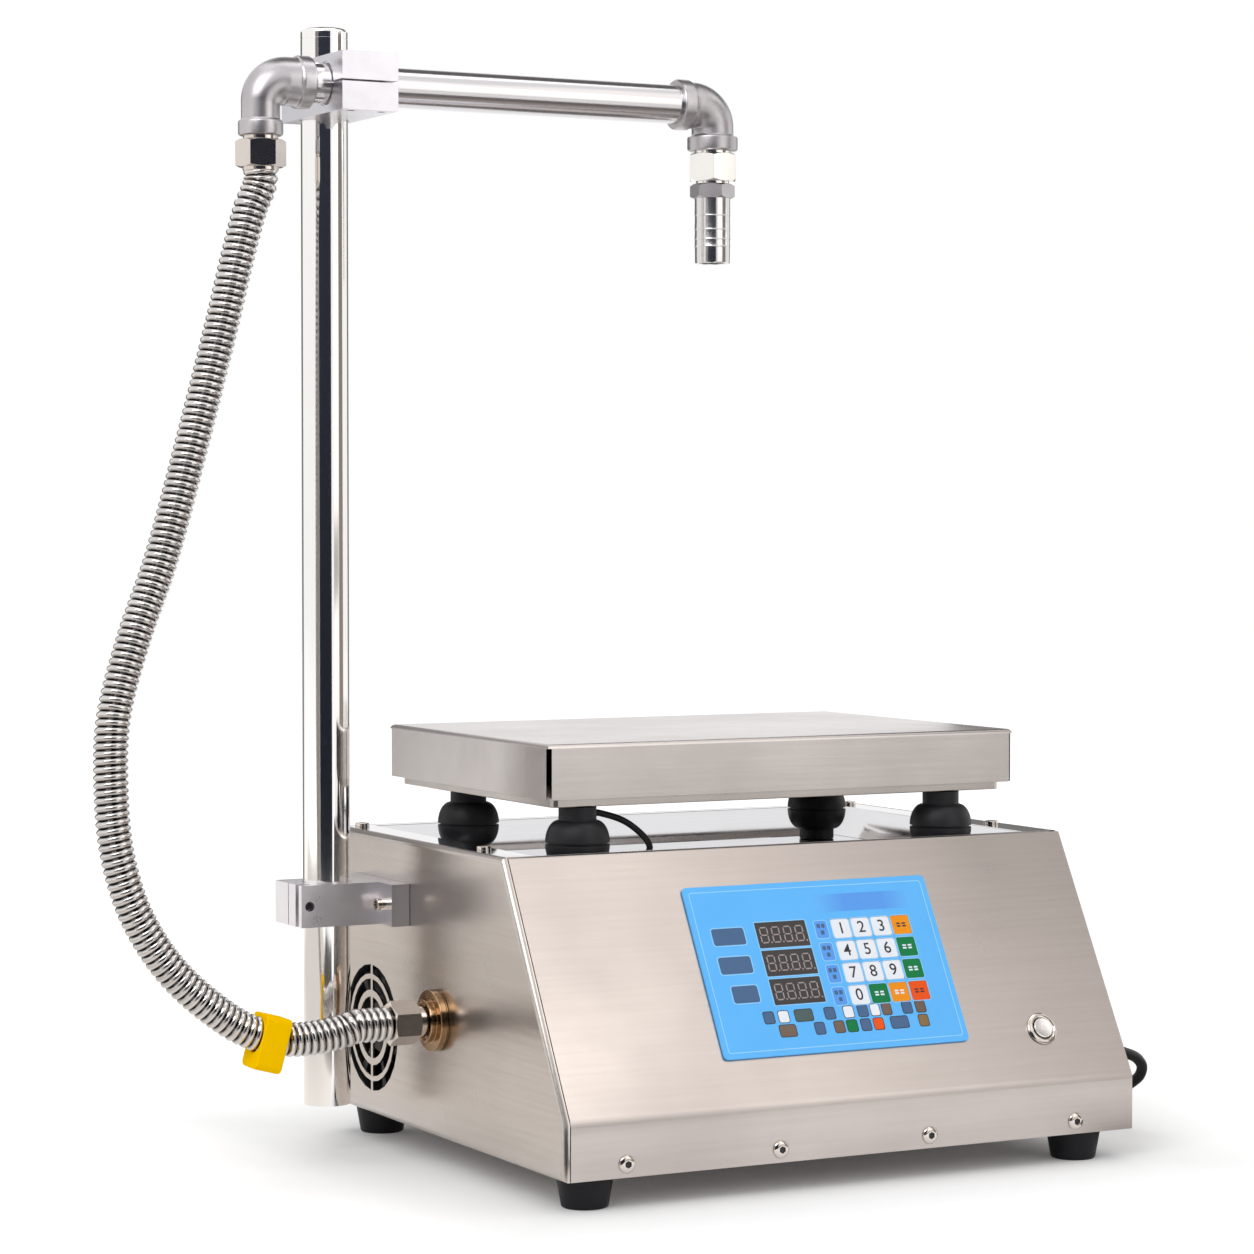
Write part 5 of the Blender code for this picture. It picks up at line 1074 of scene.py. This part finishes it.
def make_clamp():
    """The milled block that crosses the mast and the arm."""
    clamp = copy_of_solid("cross_clamp", "milled_clamp")
    for x in (-62, -22):
        steps = [(14.9, -1.2), (14.9, 1.2)]
        shape_with(clamp, turned_piece("counterbore", spot(x, ARM_Y, ARM_Z), X_WAY, steps))
    soften(clamp, 1.1, 3, 40)
    hand_over(clamp, "aluminium", "head", "aluminium", "cross_clamp")
    for number, x in enumerate((-53, -31), 1):
        screw = turned_piece(f"clamp_screw_{number}", spot(x, 204, 681.5), Z_WAY, [(2.7, 0), (2.7, 9)], 28)
        soften(screw, 0.2, 2, 40)
        hand_over(screw, "nut_steel", "head", "fitting_steel")


# Arm
def make_arm():
    """The arm's tube between its two elbows."""
    steps = [(11.6, 0), (13.35, 0), (13.35, 298.7), (11.6, 298.7)]
    tube = turned_piece("arm_polished", spot(-85.5, ARM_Y, ARM_Z), X_WAY, steps, 96, True)
    soften(tube, 0)
    hand_over(tube, "polished_level_shaded", "arm", "mast_steel", "arm_tube")


ELBOW_BEND = 16
ELBOW_RADIUS = 16.0
ELBOW_BORE = 13.5
MOUTH_BAND = (
    (16.4, 0), (17.2, 0.7), (17.5, 1.6), (17.5, 8.4), (17.2, 9.3),
    (16.6, 9.9), (16.3, 10.3), (16.3, 10.9), (16.0, 11.6),
)


def make_elbow(side_name, leg_x, side, mouth, drop, band, body):
    """A cast elbow, swept from its level mouth round the bend to the leg's foot."""
    middle = spot(leg_x, ARM_Y, ARM_Z)
    way = X_WAY * side
    elbow = start_ring(f"cast_{side_name}", middle + way * 0.018, turn_onto(way), ELBOW_BORE, 64)
    mouth_band = [(radius, mouth - back) for radius, back in MOUTH_BAND]
    level = [(ELBOW_BORE, mouth), *mouth_band, (ELBOW_RADIUS, ELBOW_BEND)]
    raise_rings(middle, way, ELBOW_BORE, 18, level)
    steps = 14
    bend = ELBOW_BEND / 1000
    pivot = middle + way * bend - Z_WAY * bend
    radius = ELBOW_RADIUS
    for i in range(1, steps + 1):
        angle = math.pi / 2 * i / steps
        new_radius = ELBOW_RADIUS + (body - ELBOW_RADIUS) * i / steps
        bpy.ops.mesh.extrude_region_move(TRANSFORM_OT_translate={"value": (0, 0, 0)})
        bpy.ops.transform.rotate(value=side * math.pi / 2 / steps, orient_axis="Y", center_override=pivot)
        centre = pivot + Vector((-side * math.sin(angle), 0, math.cos(angle))) * bend
        share = new_radius / radius
        bpy.ops.transform.resize(value=(share, share, share), center_override=centre)
        radius = new_radius
    leg = [(body, drop - 11.2), (body + 0.6, drop - 10.4), (band - 0.3, drop - 9.6), (band, drop - 8.6)]
    leg += [(band, drop - 1.6), (band - 0.4, drop - 0.6), (band - 1.3, drop)]
    leg += [(band - 5.0, drop), (band - 5.0, drop - 3)]
    raise_rings(middle, -Z_WAY, radius, ELBOW_BEND, leg)
    leave_raised()
    soften(elbow, 0, smooth=24)
    hand_over(elbow, "cast_steel", "arm", "cast_steel", side_name)


# Nuts and fittings
def hexagon(name, foot, way, flats, length, turn, chamfer=1.3):
    """A hexagon whose corners are turned down at both ends."""
    corner = flats / math.sqrt(3)
    rotation = (turn_onto(way).to_matrix() @ Matrix.Rotation(math.radians(turn), 3, "Z")).to_euler()
    nut = start_ring(name, foot, rotation, corner, 6)
    bpy.ops.mesh.extrude_region_move(TRANSFORM_OT_translate={"value": way * (length / 1000)})
    leave_raised()
    edge = flats / 2 - 0.2
    steps = [(edge, 0), (corner + 0.2, chamfer), (corner + 0.2, length - chamfer), (edge, length)]
    shape_with(nut, turned_piece("cone", foot, way, steps, 96), "INTERSECT")
    return nut


def make_nut(nut, foot, way, necks, look, body, solid):
    """A hexagon with the round necks at its ends, each given by its steps."""
    for steps in necks:
        shape_with(nut, turned_piece("neck", foot, way, steps), "UNION")
    soften(nut, 0.3)
    hand_over(nut, look, body, "fitting_steel", solid)


def make_nuts():
    """The hose's two nuts, and the hexagon nipple under the right elbow."""
    foot = spot(HOSE_LEG_X, ARM_Y, 641.5)
    nut = hexagon("upper_nut", foot, Z_WAY, 29, 18, 14)
    necks = ([(11.5, 17), (11.5, 20.6)], [(11.2, -2.6), (11.9, -2.0), (11.9, 1)])
    make_nut(nut, foot, Z_WAY, necks, "nut_steel", "arm", "upper_hose_nut")
    foot = spot(-16.3, OUTLET_Y, OUTLET_Z)
    nut = hexagon("lower_nut", foot, -X_WAY, 26, 19, 60)
    make_nut(nut, foot, -X_WAY, ([(10.5, -5.6), (10.5, 2)],), "nut_steel", "cabinet", "lower_hose_nut")
    foot = spot(NOZZLE_X, ARM_Y, 646)
    nut = hexagon("nipple", foot, Z_WAY, 31.5, 19.5, -25.5, 1.8)
    necks = ([(12.5, 18), (12.5, 21.8)], [(11.5, -1.3), (11.5, 2)])
    make_nut(nut, foot, Z_WAY, necks, "nipple_steel_lit", "arm", "nozzle_nipple")


def make_nozzle():
    """The ridged nozzle and its hexagon head."""
    foot = spot(NOZZLE_X, ARM_Y, 634.5)
    head = hexagon("barb_head", foot, Z_WAY, 27.3, 10, -5, 1.6)
    soften(head, 0.3)
    steps = [(9.0, 0.5), (12.5, 0.5), (12.4, -1.0)]
    for low, high in ((-12.0, -12.3), (-21.7, -22.0), (-28.5, -28.8), (-33.5, -33.8)):
        steps += [(12.45, low + 0.5), (12.8, low), (12.7, high), (12.3, high - 0.1)]
    steps += [(12.2, -44.4), (11.7, -45.3), (9.4, -45.3), (9.0, -44.9)]
    tail = turned_piece("barb_tail", foot, Z_WAY, steps, 96, True)
    soften(tail, 0.1, 2, 50, 40)
    hand_over(head, "cast_steel", "arm", "nozzle_steel", "nozzle_barb")
    hand_over(tail, "barb_steel", "arm", "nozzle_steel", "nozzle_barb")


def make_outlet():
    """The bronze flange at the pump's outlet."""
    steps = [(7.5, 0.3), (20.2, 0.3), (20.5, 0.6), (20.5, 1.2), (19.9, 1.3), (19.9, 1.7), (20.5, 1.8)]
    steps += [(20.6, 4.4), *rounding(19.8, 5.5, 0.8, 10, 90, 5), (14.9, 6.3), (14.4, 6.5), (14.2, 7.0)]
    steps += [(14.2, 10.0), (13.9, 10.5), (12.9, 10.5), (12.5, 10.1), (12.3, 8.6), (10.6, 8.6), (7.5, 8.6)]
    flange = turned_piece("bronze_flange", spot(0, OUTLET_Y, OUTLET_Z), -X_WAY, steps, 96, True)
    soften(flange, 0, smooth=28)
    hand_over(flange, "brass", "cabinet", "outlet_brass", "outlet_flange")


CLIP_DISTANCE = 0.085


def make_clip(points):
    """The yellow clip on the hose."""
    index = round(CLIP_DISTANCE / chain_length(points) * (len(points) - 1))
    centre = points[index]
    way = (points[index + 6] - points[index - 6]).normalized()
    turn = turn_onto(way)
    clip = block("yellow_clip", centre + turn.to_matrix() @ Vector((0, -0.0035, 0)), (27.5, 36, 18), turn)
    round_edges(clip, runs_along(way), 4.5, 8)
    shape_with(clip, turned_piece("bore", centre, way, [(11.2, -14), (11.2, 14)]))
    soften(clip, 0.9, 3, 40)
    hand_over(clip, "clip_plastic", "cabinet", "clip_plastic", "hose_clip")


def make_gland():
    """The cord gland: a hexagon, a dome and the lead's tapered relief."""
    foot = spot(430.3, GLAND_Y, 44)
    body = hexagon("gland", foot, X_WAY, 20, 6, 0, 1.0)
    steps = [(8.8, 5), (9.0, 6.4), (9.0, 9)]
    steps += [(8.9, 11), (8.5, 13.5), (7.8, 16), (7.0, 18), (6.2, 19.6), (5.2, 20), (3.6, 20), (3.6, 19)]
    shape_with(body, turned_piece("dome", foot, X_WAY, steps, 48), "UNION")
    soften(body, 0.3, 3, 35)
    hand_over(body, "cord_plastic", "cabinet", "cord_plastic", "cord_gland")


# Keypad: heights of the prints above the sloping front
PRINT_LOW = 1.85
FRAME_TOP = 1.95
PRINT_TOP = 1.96
DISPLAY_TOP = 2.02
FIGURE_LOW = 1.9


def print_block(name, x, up, width, height, look, corner, top=PRINT_TOP):
    """A printed patch on the keypad's film."""
    middle = on_slope(x, up, (PRINT_LOW + top) / 2)
    patch = plate(name, middle, (width, height, top - PRINT_LOW), corner, SLOPE_ROTATION, 4)
    hand_over(patch, look, "cabinet", "keypad_blue")


def print_frame(name, x, up, width, height, line, corner):
    """A printed outline on the keypad's film."""
    middle = on_slope(x, up, (PRINT_LOW + FRAME_TOP) / 2)
    outside = plate(name, middle, (width, height, FRAME_TOP - PRINT_LOW), corner, SLOPE_ROTATION, 5)
    inside_size = (width - 2 * line, height - 2 * line, 1)
    inside = plate("inside", middle, inside_size, max(corner - line, 0.15), SLOPE_ROTATION, 5)
    shape_with(outside, inside)
    hand_over(outside, "print_pale", "cabinet", "keypad_blue")


def make_digit_bars(name, x, up):
    """One figure of a display, seven bars and a point."""
    wide = 5.4
    line = 0.85
    half = 5.3
    level = (wide - line * 1.15, line, 0.04)
    upright = (line, half - line * 1.15, 0.04)
    out = DISPLAY_TOP + 0.02
    places = [(0, half, level), (0, 0, level), (0, -half, level)]
    places += [(side * wide / 2, rise * half / 2, upright) for rise in (1, -1) for side in (-1, 1)]
    bars = []
    for across, rise, size in places:
        middle = on_slope(x + across + rise * 0.04, up + rise, out)
        bars.append(plate("bar", middle, size, 0.3, SLOPE_ROTATION, 1))
    point = on_slope(x + wide / 2 + 1.7, up - half, out)
    bars.append(plate("point", point, (1.1, 1.1, 0.04), 0.4, SLOPE_ROTATION, 3))
    return joined(bars, name)


def make_key_figure(text, x, up, body):
    """A figure printed on a key."""
    bpy.ops.object.select_all(action="DESELECT")
    bpy.ops.object.text_add(location=on_slope(x, up, FIGURE_LOW), rotation=SLOPE_ROTATION)
    figure = bpy.context.object
    figure.name = f"figure_{text}"
    figure.data.body = text
    figure.data.size = 0.0115
    figure.data.align_x = "CENTER"
    figure.data.align_y = "CENTER"
    figure.data.extrude = 0.00003
    figure.data.offset = 0.00008
    bpy.ops.object.convert(target="MESH")
    apply_place()
    hand_over(figure, "print_black", body, "key_white")


def make_key_mark(name, x, up, body):
    """Four short strokes in place of a word on a key."""
    marks = []
    for side in (-1, 1):
        for level in (-1, 1):
            middle = on_slope(x + side * 2.1, up + level * 0.95, 1.92)
            marks.append(plate("mark", middle, (2.9, 1.15, 0.05), 0.3, SLOPE_ROTATION, 2))
    dark = body in ("key_tare", "key_stop")
    hand_over(joined(marks, name), "print_black" if dark else "print_white", body, "key_white")


KEYS = (
    ("key_1", "key_2", "key_3", "key_tare"),
    ("key_4", "key_5", "key_6", "key_set"),
    ("key_7", "key_8", "key_9", "key_save"),
    ("key_0", "key_clear", "key_pause", "key_stop"),
)
KEY_LOOKS = {
    "key_tare": "key_orange",
    "key_set": "key_green",
    "key_save": "key_green",
    "key_clear": "key_green",
    "key_pause": "key_orange",
    "key_stop": "key_red",
}
FIRST_KEY_X = 234.5
KEY_STEP_X = 15.5
FIRST_KEY_UP = 118.0
KEY_STEP_UP = 15.8
CELL_X = 219.3
DISPLAY_X = 188.8
SMALL_PRINTS = (
    (59.3, (
        (162.7, 7.4, "print_navy"), (173.7, 7.4, "key_white"), (188.8, 13.0, "print_olive"),
        (208.5, 7.4, "print_navy"), (222.7, 7.2, "key_white"), (233.6, 7.2, "print_navy"),
        (243.0, 6.6, "key_white"), (252.0, 6.6, "print_brown"), (267.8, 7.0, "print_navy"),
        (278.2, 7.0, "print_brown"),
    )),
    (49.5, (
        (174.3, 12.0, "print_brown"), (198.3, 7.0, "print_navy"), (213.1, 7.2, "print_brown"),
        (222.8, 7.6, "key_green"), (233.3, 7.2, "print_navy"), (243.1, 7.2, "key_red"),
        (259.2, 13.0, "print_navy"), (277.9, 7.0, "print_gold"),
    )),
)


def make_keys():
    """The sixteen keys with their borders and their figures or marks."""
    for row, keys in enumerate(KEYS):
        for column, name in enumerate(keys):
            x = FIRST_KEY_X + KEY_STEP_X * column
            up = FIRST_KEY_UP - KEY_STEP_UP * row
            dress_solid(name, KEY_LOOKS.get(name, "key_white"), 0.15)
            print_frame(f"{name}_border", x, up, 15.2, 14.7, 0.55, 2.0)
            if name in KEY_LOOKS:
                make_key_mark(f"{name}_mark", x, up, name)
            else:
                make_key_figure(name[-1], x, up - 0.1, name)


def make_displays():
    """The three displays, each with four figures that are copies of the first."""
    first = None
    for number, up in enumerate((116.5, 96.6, 76.5), 1):
        print_frame(f"display_border_{number}", DISPLAY_X, up, 39.6, 19.4, 0.7, 1.0)
        print_block(f"display_{number}", DISPLAY_X, up, 38.3, 18.1, "display_glass", 0.6, DISPLAY_TOP)
        for place in range(4):
            x = DISPLAY_X - 13.6 + place * 8.9
            at = on_slope(x, up, DISPLAY_TOP)
            if first is None:
                first = bars = make_digit_bars("figure_bars_1_1", x, up)
                first_at = at
            else:
                bars = copy_of(first, f"figure_bars_{number}_{place + 1}", at - first_at)
            hand_over(bars, "digit_bars", "cabinet", "keypad_blue")


def make_keypad():
    """The film, its prints, its displays and its keys."""
    dress_solid("keypad_overlay", "film_blue", 0.2)
    make_keys()
    print_frame("film_border", 216, 93, 178.5, 112.5, 0.7, 2.2)
    print_block("film_band", 256.5, 136.5, 75, 12.5, "band_blue", 2.5)
    labels = ((148.6, 117, 25.6), (148.3, 96.9, 25.6), (150.1, 76.5, 20.8))
    for number, (x, up, width) in enumerate(labels, 1):
        print_frame(f"label_border_{number}", x, up, width, 13.4, 0.7, 2.4)
        print_block(f"label_{number}", x, up, width - 1.6, 11.8, "print_navy", 1.8)
    make_displays()
    for number in range(1, 5):
        up = FIRST_KEY_UP - KEY_STEP_UP * (number - 1)
        print_frame(f"cell_border_{number}", CELL_X, up, 10.6, 13.6, 0.6, 2.2)
        print_block(f"cell_{number}", CELL_X, up, 9.3, 12.3, "print_deep", 1.7)
        for k, (dx, dy) in enumerate(((-1.9, 2.6), (1.6, 2.6), (0.2, -2.2)), 1):
            print_block(f"cell_mark_{number}_{k}", CELL_X + dx, up + dy, 2.6, 3.0, "print_navy", 0.6, 1.99)
    small = [(x, up, width, look) for up, prints in SMALL_PRINTS for x, width, look in prints]
    for number, (x, up, width, look) in enumerate(small, 1):
        print_block(f"small_patch_{number}", x, up, width + 1.1, 8.9, "print_black", 1.8, 1.93)
        print_block(f"small_print_{number}", x, up, width, 7.8, look, 1.4, 1.97)


def make_button():
    """The push button: a chamfered bezel and a shallow dished cap."""
    at = on_slope(368.6, 37.4, 0)
    steps = [(9.5, -10), (9.5, 0.3), (11.0, 0.3), (11.2, 0.5), (11.2, 1.1), (10.9, 1.5)]
    steps += [(9.4, 2.2), (8.9, 2.2), (8.4, 1.8), (7.7, 1.8), (7.6, 1.5), (7.6, -10)]
    bezel = turned_piece("bezel", at, SLOPE_OUT, steps, 72, True)
    soften(bezel, 0.08, 2, 40)
    hand_over(bezel, "nut_steel", "cabinet", "fitting_steel", "button_bezel")
    steps = [(6.9, -10), (7.0, -9.8), (7.0, 2.3), (6.85, 2.7), (6.6, 2.98), (6.3, 3.0)]
    steps += [(5.8, 2.9), (3.0, 2.75), (1.0, 2.7)]
    cap = turned_piece("cap", at, SLOPE_OUT, steps)
    soften(cap, 0)
    hand_over(cap, "cap_steel", "button", "fitting_steel", "button_cap")


# Standing cards: azimuth, half width in degrees, distance, height and tint, then the glow's ramp
STANDING_CARDS = (
    ("front_card", -113.5, 29.5, 1.5, 1.08, (0.60, 0.68, 1.0), 1, 0.02, 0.05),
    ("right_card", -33, 12, 2.0, 1.06, (1.0, 0.86, 0.76), 1, 0.30, 0.22),
    ("left_card", -150.5, 7.0, 1.5, 1.05, (1.0, 0.93, 0.85), 1.2, 0.30, 0.20),
    ("rear_card", 88.5, 22, 1.6, 1.1, (1.0, 0.97, 0.95), 1.2, 0.22, 0.16),
    ("rear_right_card", 31, 11, 1.6, 1.1, (1.0, 0.97, 0.95), 1.2, 0.22, 0.16),
)

# Level cards: ends along X and Y, height and tint, then the glow's axis and ramp
LEVEL_CARDS = (
    ("roof_card", -0.30, 1.30, 0.05, 0.60, 1.2, (1.0, 0.97, 0.97), "Y", 0.05, 0.6, 0.10, 0.20),
    ("mast_floor_card", -0.80, -0.185, -1.10, -0.27, 0.003, (1.0, 0.94, 0.90), "Y", -0.45, -0.27, 0.10, 0.70),
    ("small_floor_card", -0.15, 0.03, -0.50, -0.27, 0.044, (1.0, 0.9, 0.85), "Y", -0.5, -0.27, 0.03, 0.02),
    ("floor_card", 0.03, 0.95, -1.20, -0.30, 0.045, (1.0, 0.90, 0.84), "Y", -0.70, -0.42, 0.16, 0.40),
    ("side_floor_card", 0.288, 0.80, -0.30, 0.40, 0.001, (1.0, 0.92, 0.86), "X", 0.3, 0.6, 0.20, 0.40),
)


def ramp(axis, low, high, first, last):
    """A glow that changes evenly along an axis."""
    return lambda tree: remap(tree, along(tree, axis), low, high, first, last)


def make_card(name, foot, level, rise, tint, glow_from):
    """A card that only reflections see, modelled as one face from its corner and its two sides."""
    foot, level, rise = Vector(foot), Vector(level), Vector(rise)
    turn = Matrix((level.normalized(), rise.normalized(), level.cross(rise).normalized())).transposed()
    bpy.ops.object.select_all(action="DESELECT")
    bpy.ops.mesh.primitive_plane_add(size=1, location=foot + (level + rise) / 2, rotation=turn.to_euler())
    card = bpy.context.object
    card.name = name
    card.scale = (level.length, rise.length, 1)
    apply_place()
    look = bpy.data.materials.new(name)
    look.use_nodes = True
    tree = look.node_tree
    paint = tree.nodes["Principled BSDF"]
    paint.inputs["Base Color"].default_value = (0, 0, 0, 1)
    paint.inputs["Specular IOR Level"].default_value = 0
    paint.inputs["Emission Color"].default_value = (*tint, 1)
    tree.links.new(glow_from(tree), paint.inputs["Emission Strength"])
    card.data.materials.append(look)
    card.visible_camera = False
    card.visible_diffuse = False
    card.visible_shadow = False
    card.visible_transmission = False


def make_level_card(name, left, right, front, back, height, tint, glow_from):
    """A card that lies level."""
    make_card(name, (left, front, height), (right - left, 0, 0), (0, back - front, 0), tint, glow_from)


def window_glow(tree):
    """Brighter upward, with a dark stripe across."""
    height = along(tree, "Z")
    low = remap(tree, height, 0.0, 0.30, 0.80, 1.25)
    high = remap(tree, height, 0.45, 0.75, 0, 0.35)
    edges = (remap(tree, height, 0.32, 0.34, 0, 1), remap(tree, height, 0.41, 0.43, 1, 0))
    stripe = combine(tree, "MULTIPLY", combine(tree, "MULTIPLY", *edges), 0.8)
    return combine(tree, "SUBTRACT", combine(tree, "ADD", low, high), stripe)


def ceiling_glow(tree):
    """Bright in front on the left, and dim on the right and behind."""
    right = remap(tree, along(tree, "X"), 0.55, 1.10, 0, 1.35)
    back = remap(tree, along(tree, "Y"), -1.10, -0.88, 0, 1.0)
    light = combine(tree, "SUBTRACT", 2.35, combine(tree, "ADD", right, back))
    return combine(tree, "MAXIMUM", light, 0.25)


def left_floor_glow(tree):
    """Brighter near the cabinet and far behind it."""
    near = remap(tree, along(tree, "X"), -0.75, -0.28, 0.72, 0.95)
    return combine(tree, "ADD", near, remap(tree, along(tree, "Y"), 1.0, 1.7, 0, 0.50))


def make_cards():
    """Cards all round, as the things of a workroom show in polished steel."""
    mast = spot(MAST_X, MAST_Y, 0)
    for name, azimuth, half_width, distance, high, tint, *glow in STANDING_CARDS:
        turn = math.radians(azimuth)
        out = Vector((math.cos(turn), math.sin(turn), 0))
        side = Vector((-out.y, out.x, 0)) * (distance * math.tan(math.radians(half_width)))
        foot = Vector((mast.x, mast.y, 0)) + out * distance - side
        make_card(name, foot, side * 2, Z_WAY * high, tint, ramp("Z", 0, *glow))
    make_card("window_card", (0.30, -1.47, 0), (0.95, 0, 0), (0, 0, 1.9), (1.0, 0.985, 0.96), window_glow)
    make_level_card("ceiling_card", 0.25, 1.80, -1.40, -0.28, 1.2, (1.0, 0.97, 0.94), ceiling_glow)
    make_level_card("left_floor_card", -2.20, -0.225, -0.90, 2.30, 0.002, (1.0, 0.955, 0.91), left_floor_glow)
    for name, left, right, front, back, height, tint, *glow in LEVEL_CARDS:
        make_level_card(name, left, right, front, back, height, tint, ramp(*glow))


def seen_or_mirrored(tree):
    """High for the camera's rays and for rays that mirror."""
    path = node(tree, "ShaderNodeLightPath")
    return combine(tree, "MAXIMUM", path.outputs["Is Camera Ray"], path.outputs["Is Glossy Ray"]), path


def make_floor():
    """A plain pale floor, that glows more far out, and glows less under the machine as a painted shadow."""
    bpy.ops.object.select_all(action="DESELECT")
    bpy.ops.mesh.primitive_plane_add(size=16, location=(0, 0, 0))
    floor = bpy.context.object
    floor.name = "floor"
    look = bpy.data.materials.new("floor_white")
    look.use_nodes = True
    tree = look.node_tree
    surface = tree.nodes["Principled BSDF"]
    surface.inputs["Base Color"].default_value = (0.86, 0.86, 0.86, 1)
    surface.inputs["Roughness"].default_value = 0.9
    surface.inputs["Specular IOR Level"].default_value = 0.1
    surface.inputs["Emission Color"].default_value = (1, 1, 1, 1)
    middle = spot(CABINET_WIDTH / 2, CABINET_DEPTH / 2, 0)
    beside = []
    for axis, centre, size in (("X", middle.x, CABINET_WIDTH), ("Y", middle.y, CABINET_DEPTH)):
        off = combine(tree, "ABSOLUTE", combine(tree, "SUBTRACT", along(tree, axis), centre))
        beside.append(combine(tree, "SUBTRACT", off, size / 2000))
    outside = combine(tree, "MAXIMUM", *beside)
    # Painted shadow: the floor's glow drops under and just beside the machine.
    painted_shadow_glow = remap(tree, outside, -0.05, 0.16, 0.03, 0.30)
    far = remap(tree, outside, 0.8, 2.2, 0, 0.24)
    seen, _ = seen_or_mirrored(tree)
    glow = combine(tree, "MULTIPLY", combine(tree, "ADD", painted_shadow_glow, far), seen)
    tree.links.new(glow, surface.inputs["Emission Strength"])
    floor.data.materials.append(look)


LAMPS = (
    ("left_softbox", (-2.2, -1.6, 2.3), 2.2, 42),
    ("right_softbox", (2.4, -1.4, 1.9), 2.0, 11),
    ("top_softbox", (0.2, 0.6, 2.9), 2.4, 18),
)
LAMP_TARGET = Vector((0, 0, 0.3))


def make_stage():
    """The floor, a white room, soft lamps and the cards."""
    make_floor()
    world = bpy.data.worlds.new("studio")
    bpy.context.scene.world = world
    world.use_nodes = True
    tree = world.node_tree
    back = tree.nodes["Background"]
    back.inputs["Color"].default_value = (1, 1, 1, 1)
    seen, path = seen_or_mirrored(tree)
    seen = combine(tree, "MAXIMUM", seen, path.outputs["Is Transmission Ray"])
    tree.links.new(remap(tree, seen, 0, 1, 0.60, 1.0), back.inputs["Strength"])
    for name, at, size, power in LAMPS:
        bpy.ops.object.light_add(type="AREA", location=at)
        lamp = bpy.context.object
        lamp.name = name
        lamp.data.size = size
        lamp.data.energy = power
        lamp.rotation_euler = (LAMP_TARGET - Vector(at)).to_track_quat("-Z", "Y").to_euler()
    make_cards()


# CAD solids that stay, with their look and the width of their soft edges
KEPT_SOLIDS = (
    ("rear_panel", "side_sheet", 0.3),
    ("base_tray", "base_sheet", 0.3),
    ("scale_base", "base_sheet", 0.6),
    ("load_cell", "aluminium", 0.4),
    ("platter_spider", "base_sheet", 0.4),
    ("fan_frame", "fan_plastic", 0.3),
    ("fan_rotor", "fan_plastic", 0.2),
    ("pump_head", "cast_steel", 0.3),
    ("impeller", "brass", 0.3),
    ("pump_motor", "motor_paint", 0.5),
)

bpy.context.scene.view_settings.view_transform = "Standard"
bpy.ops.object.select_all(action="DESELECT")
set_camera()
make_finishes()
hose_line = make_hose()
make_scale_cable()
make_power_cord()
make_side_panel("left", 0, SHEET, 5)
make_side_panel("right", CABINET_WIDTH, CABINET_WIDTH - SHEET, 3)
make_front_panel()
make_top_plate()
make_ramps()
make_screws()
make_feet()
make_bumpers()
make_platter()
make_mast()
make_bracket()
make_clamp()
make_arm()
make_elbow("left_elbow", HOSE_LEG_X, 1, 34, 36.5, 14.8, 12.8)
make_elbow("right_elbow", NOZZLE_X, -1, 30, 31, 17.6, 14.6)
make_nuts()
make_nozzle()
make_outlet()
make_clip(hose_line)
make_gland()
make_keypad()
make_button()
for solid, look, width in KEPT_SOLIDS:
    dress_solid(solid, look, width)
make_stage()
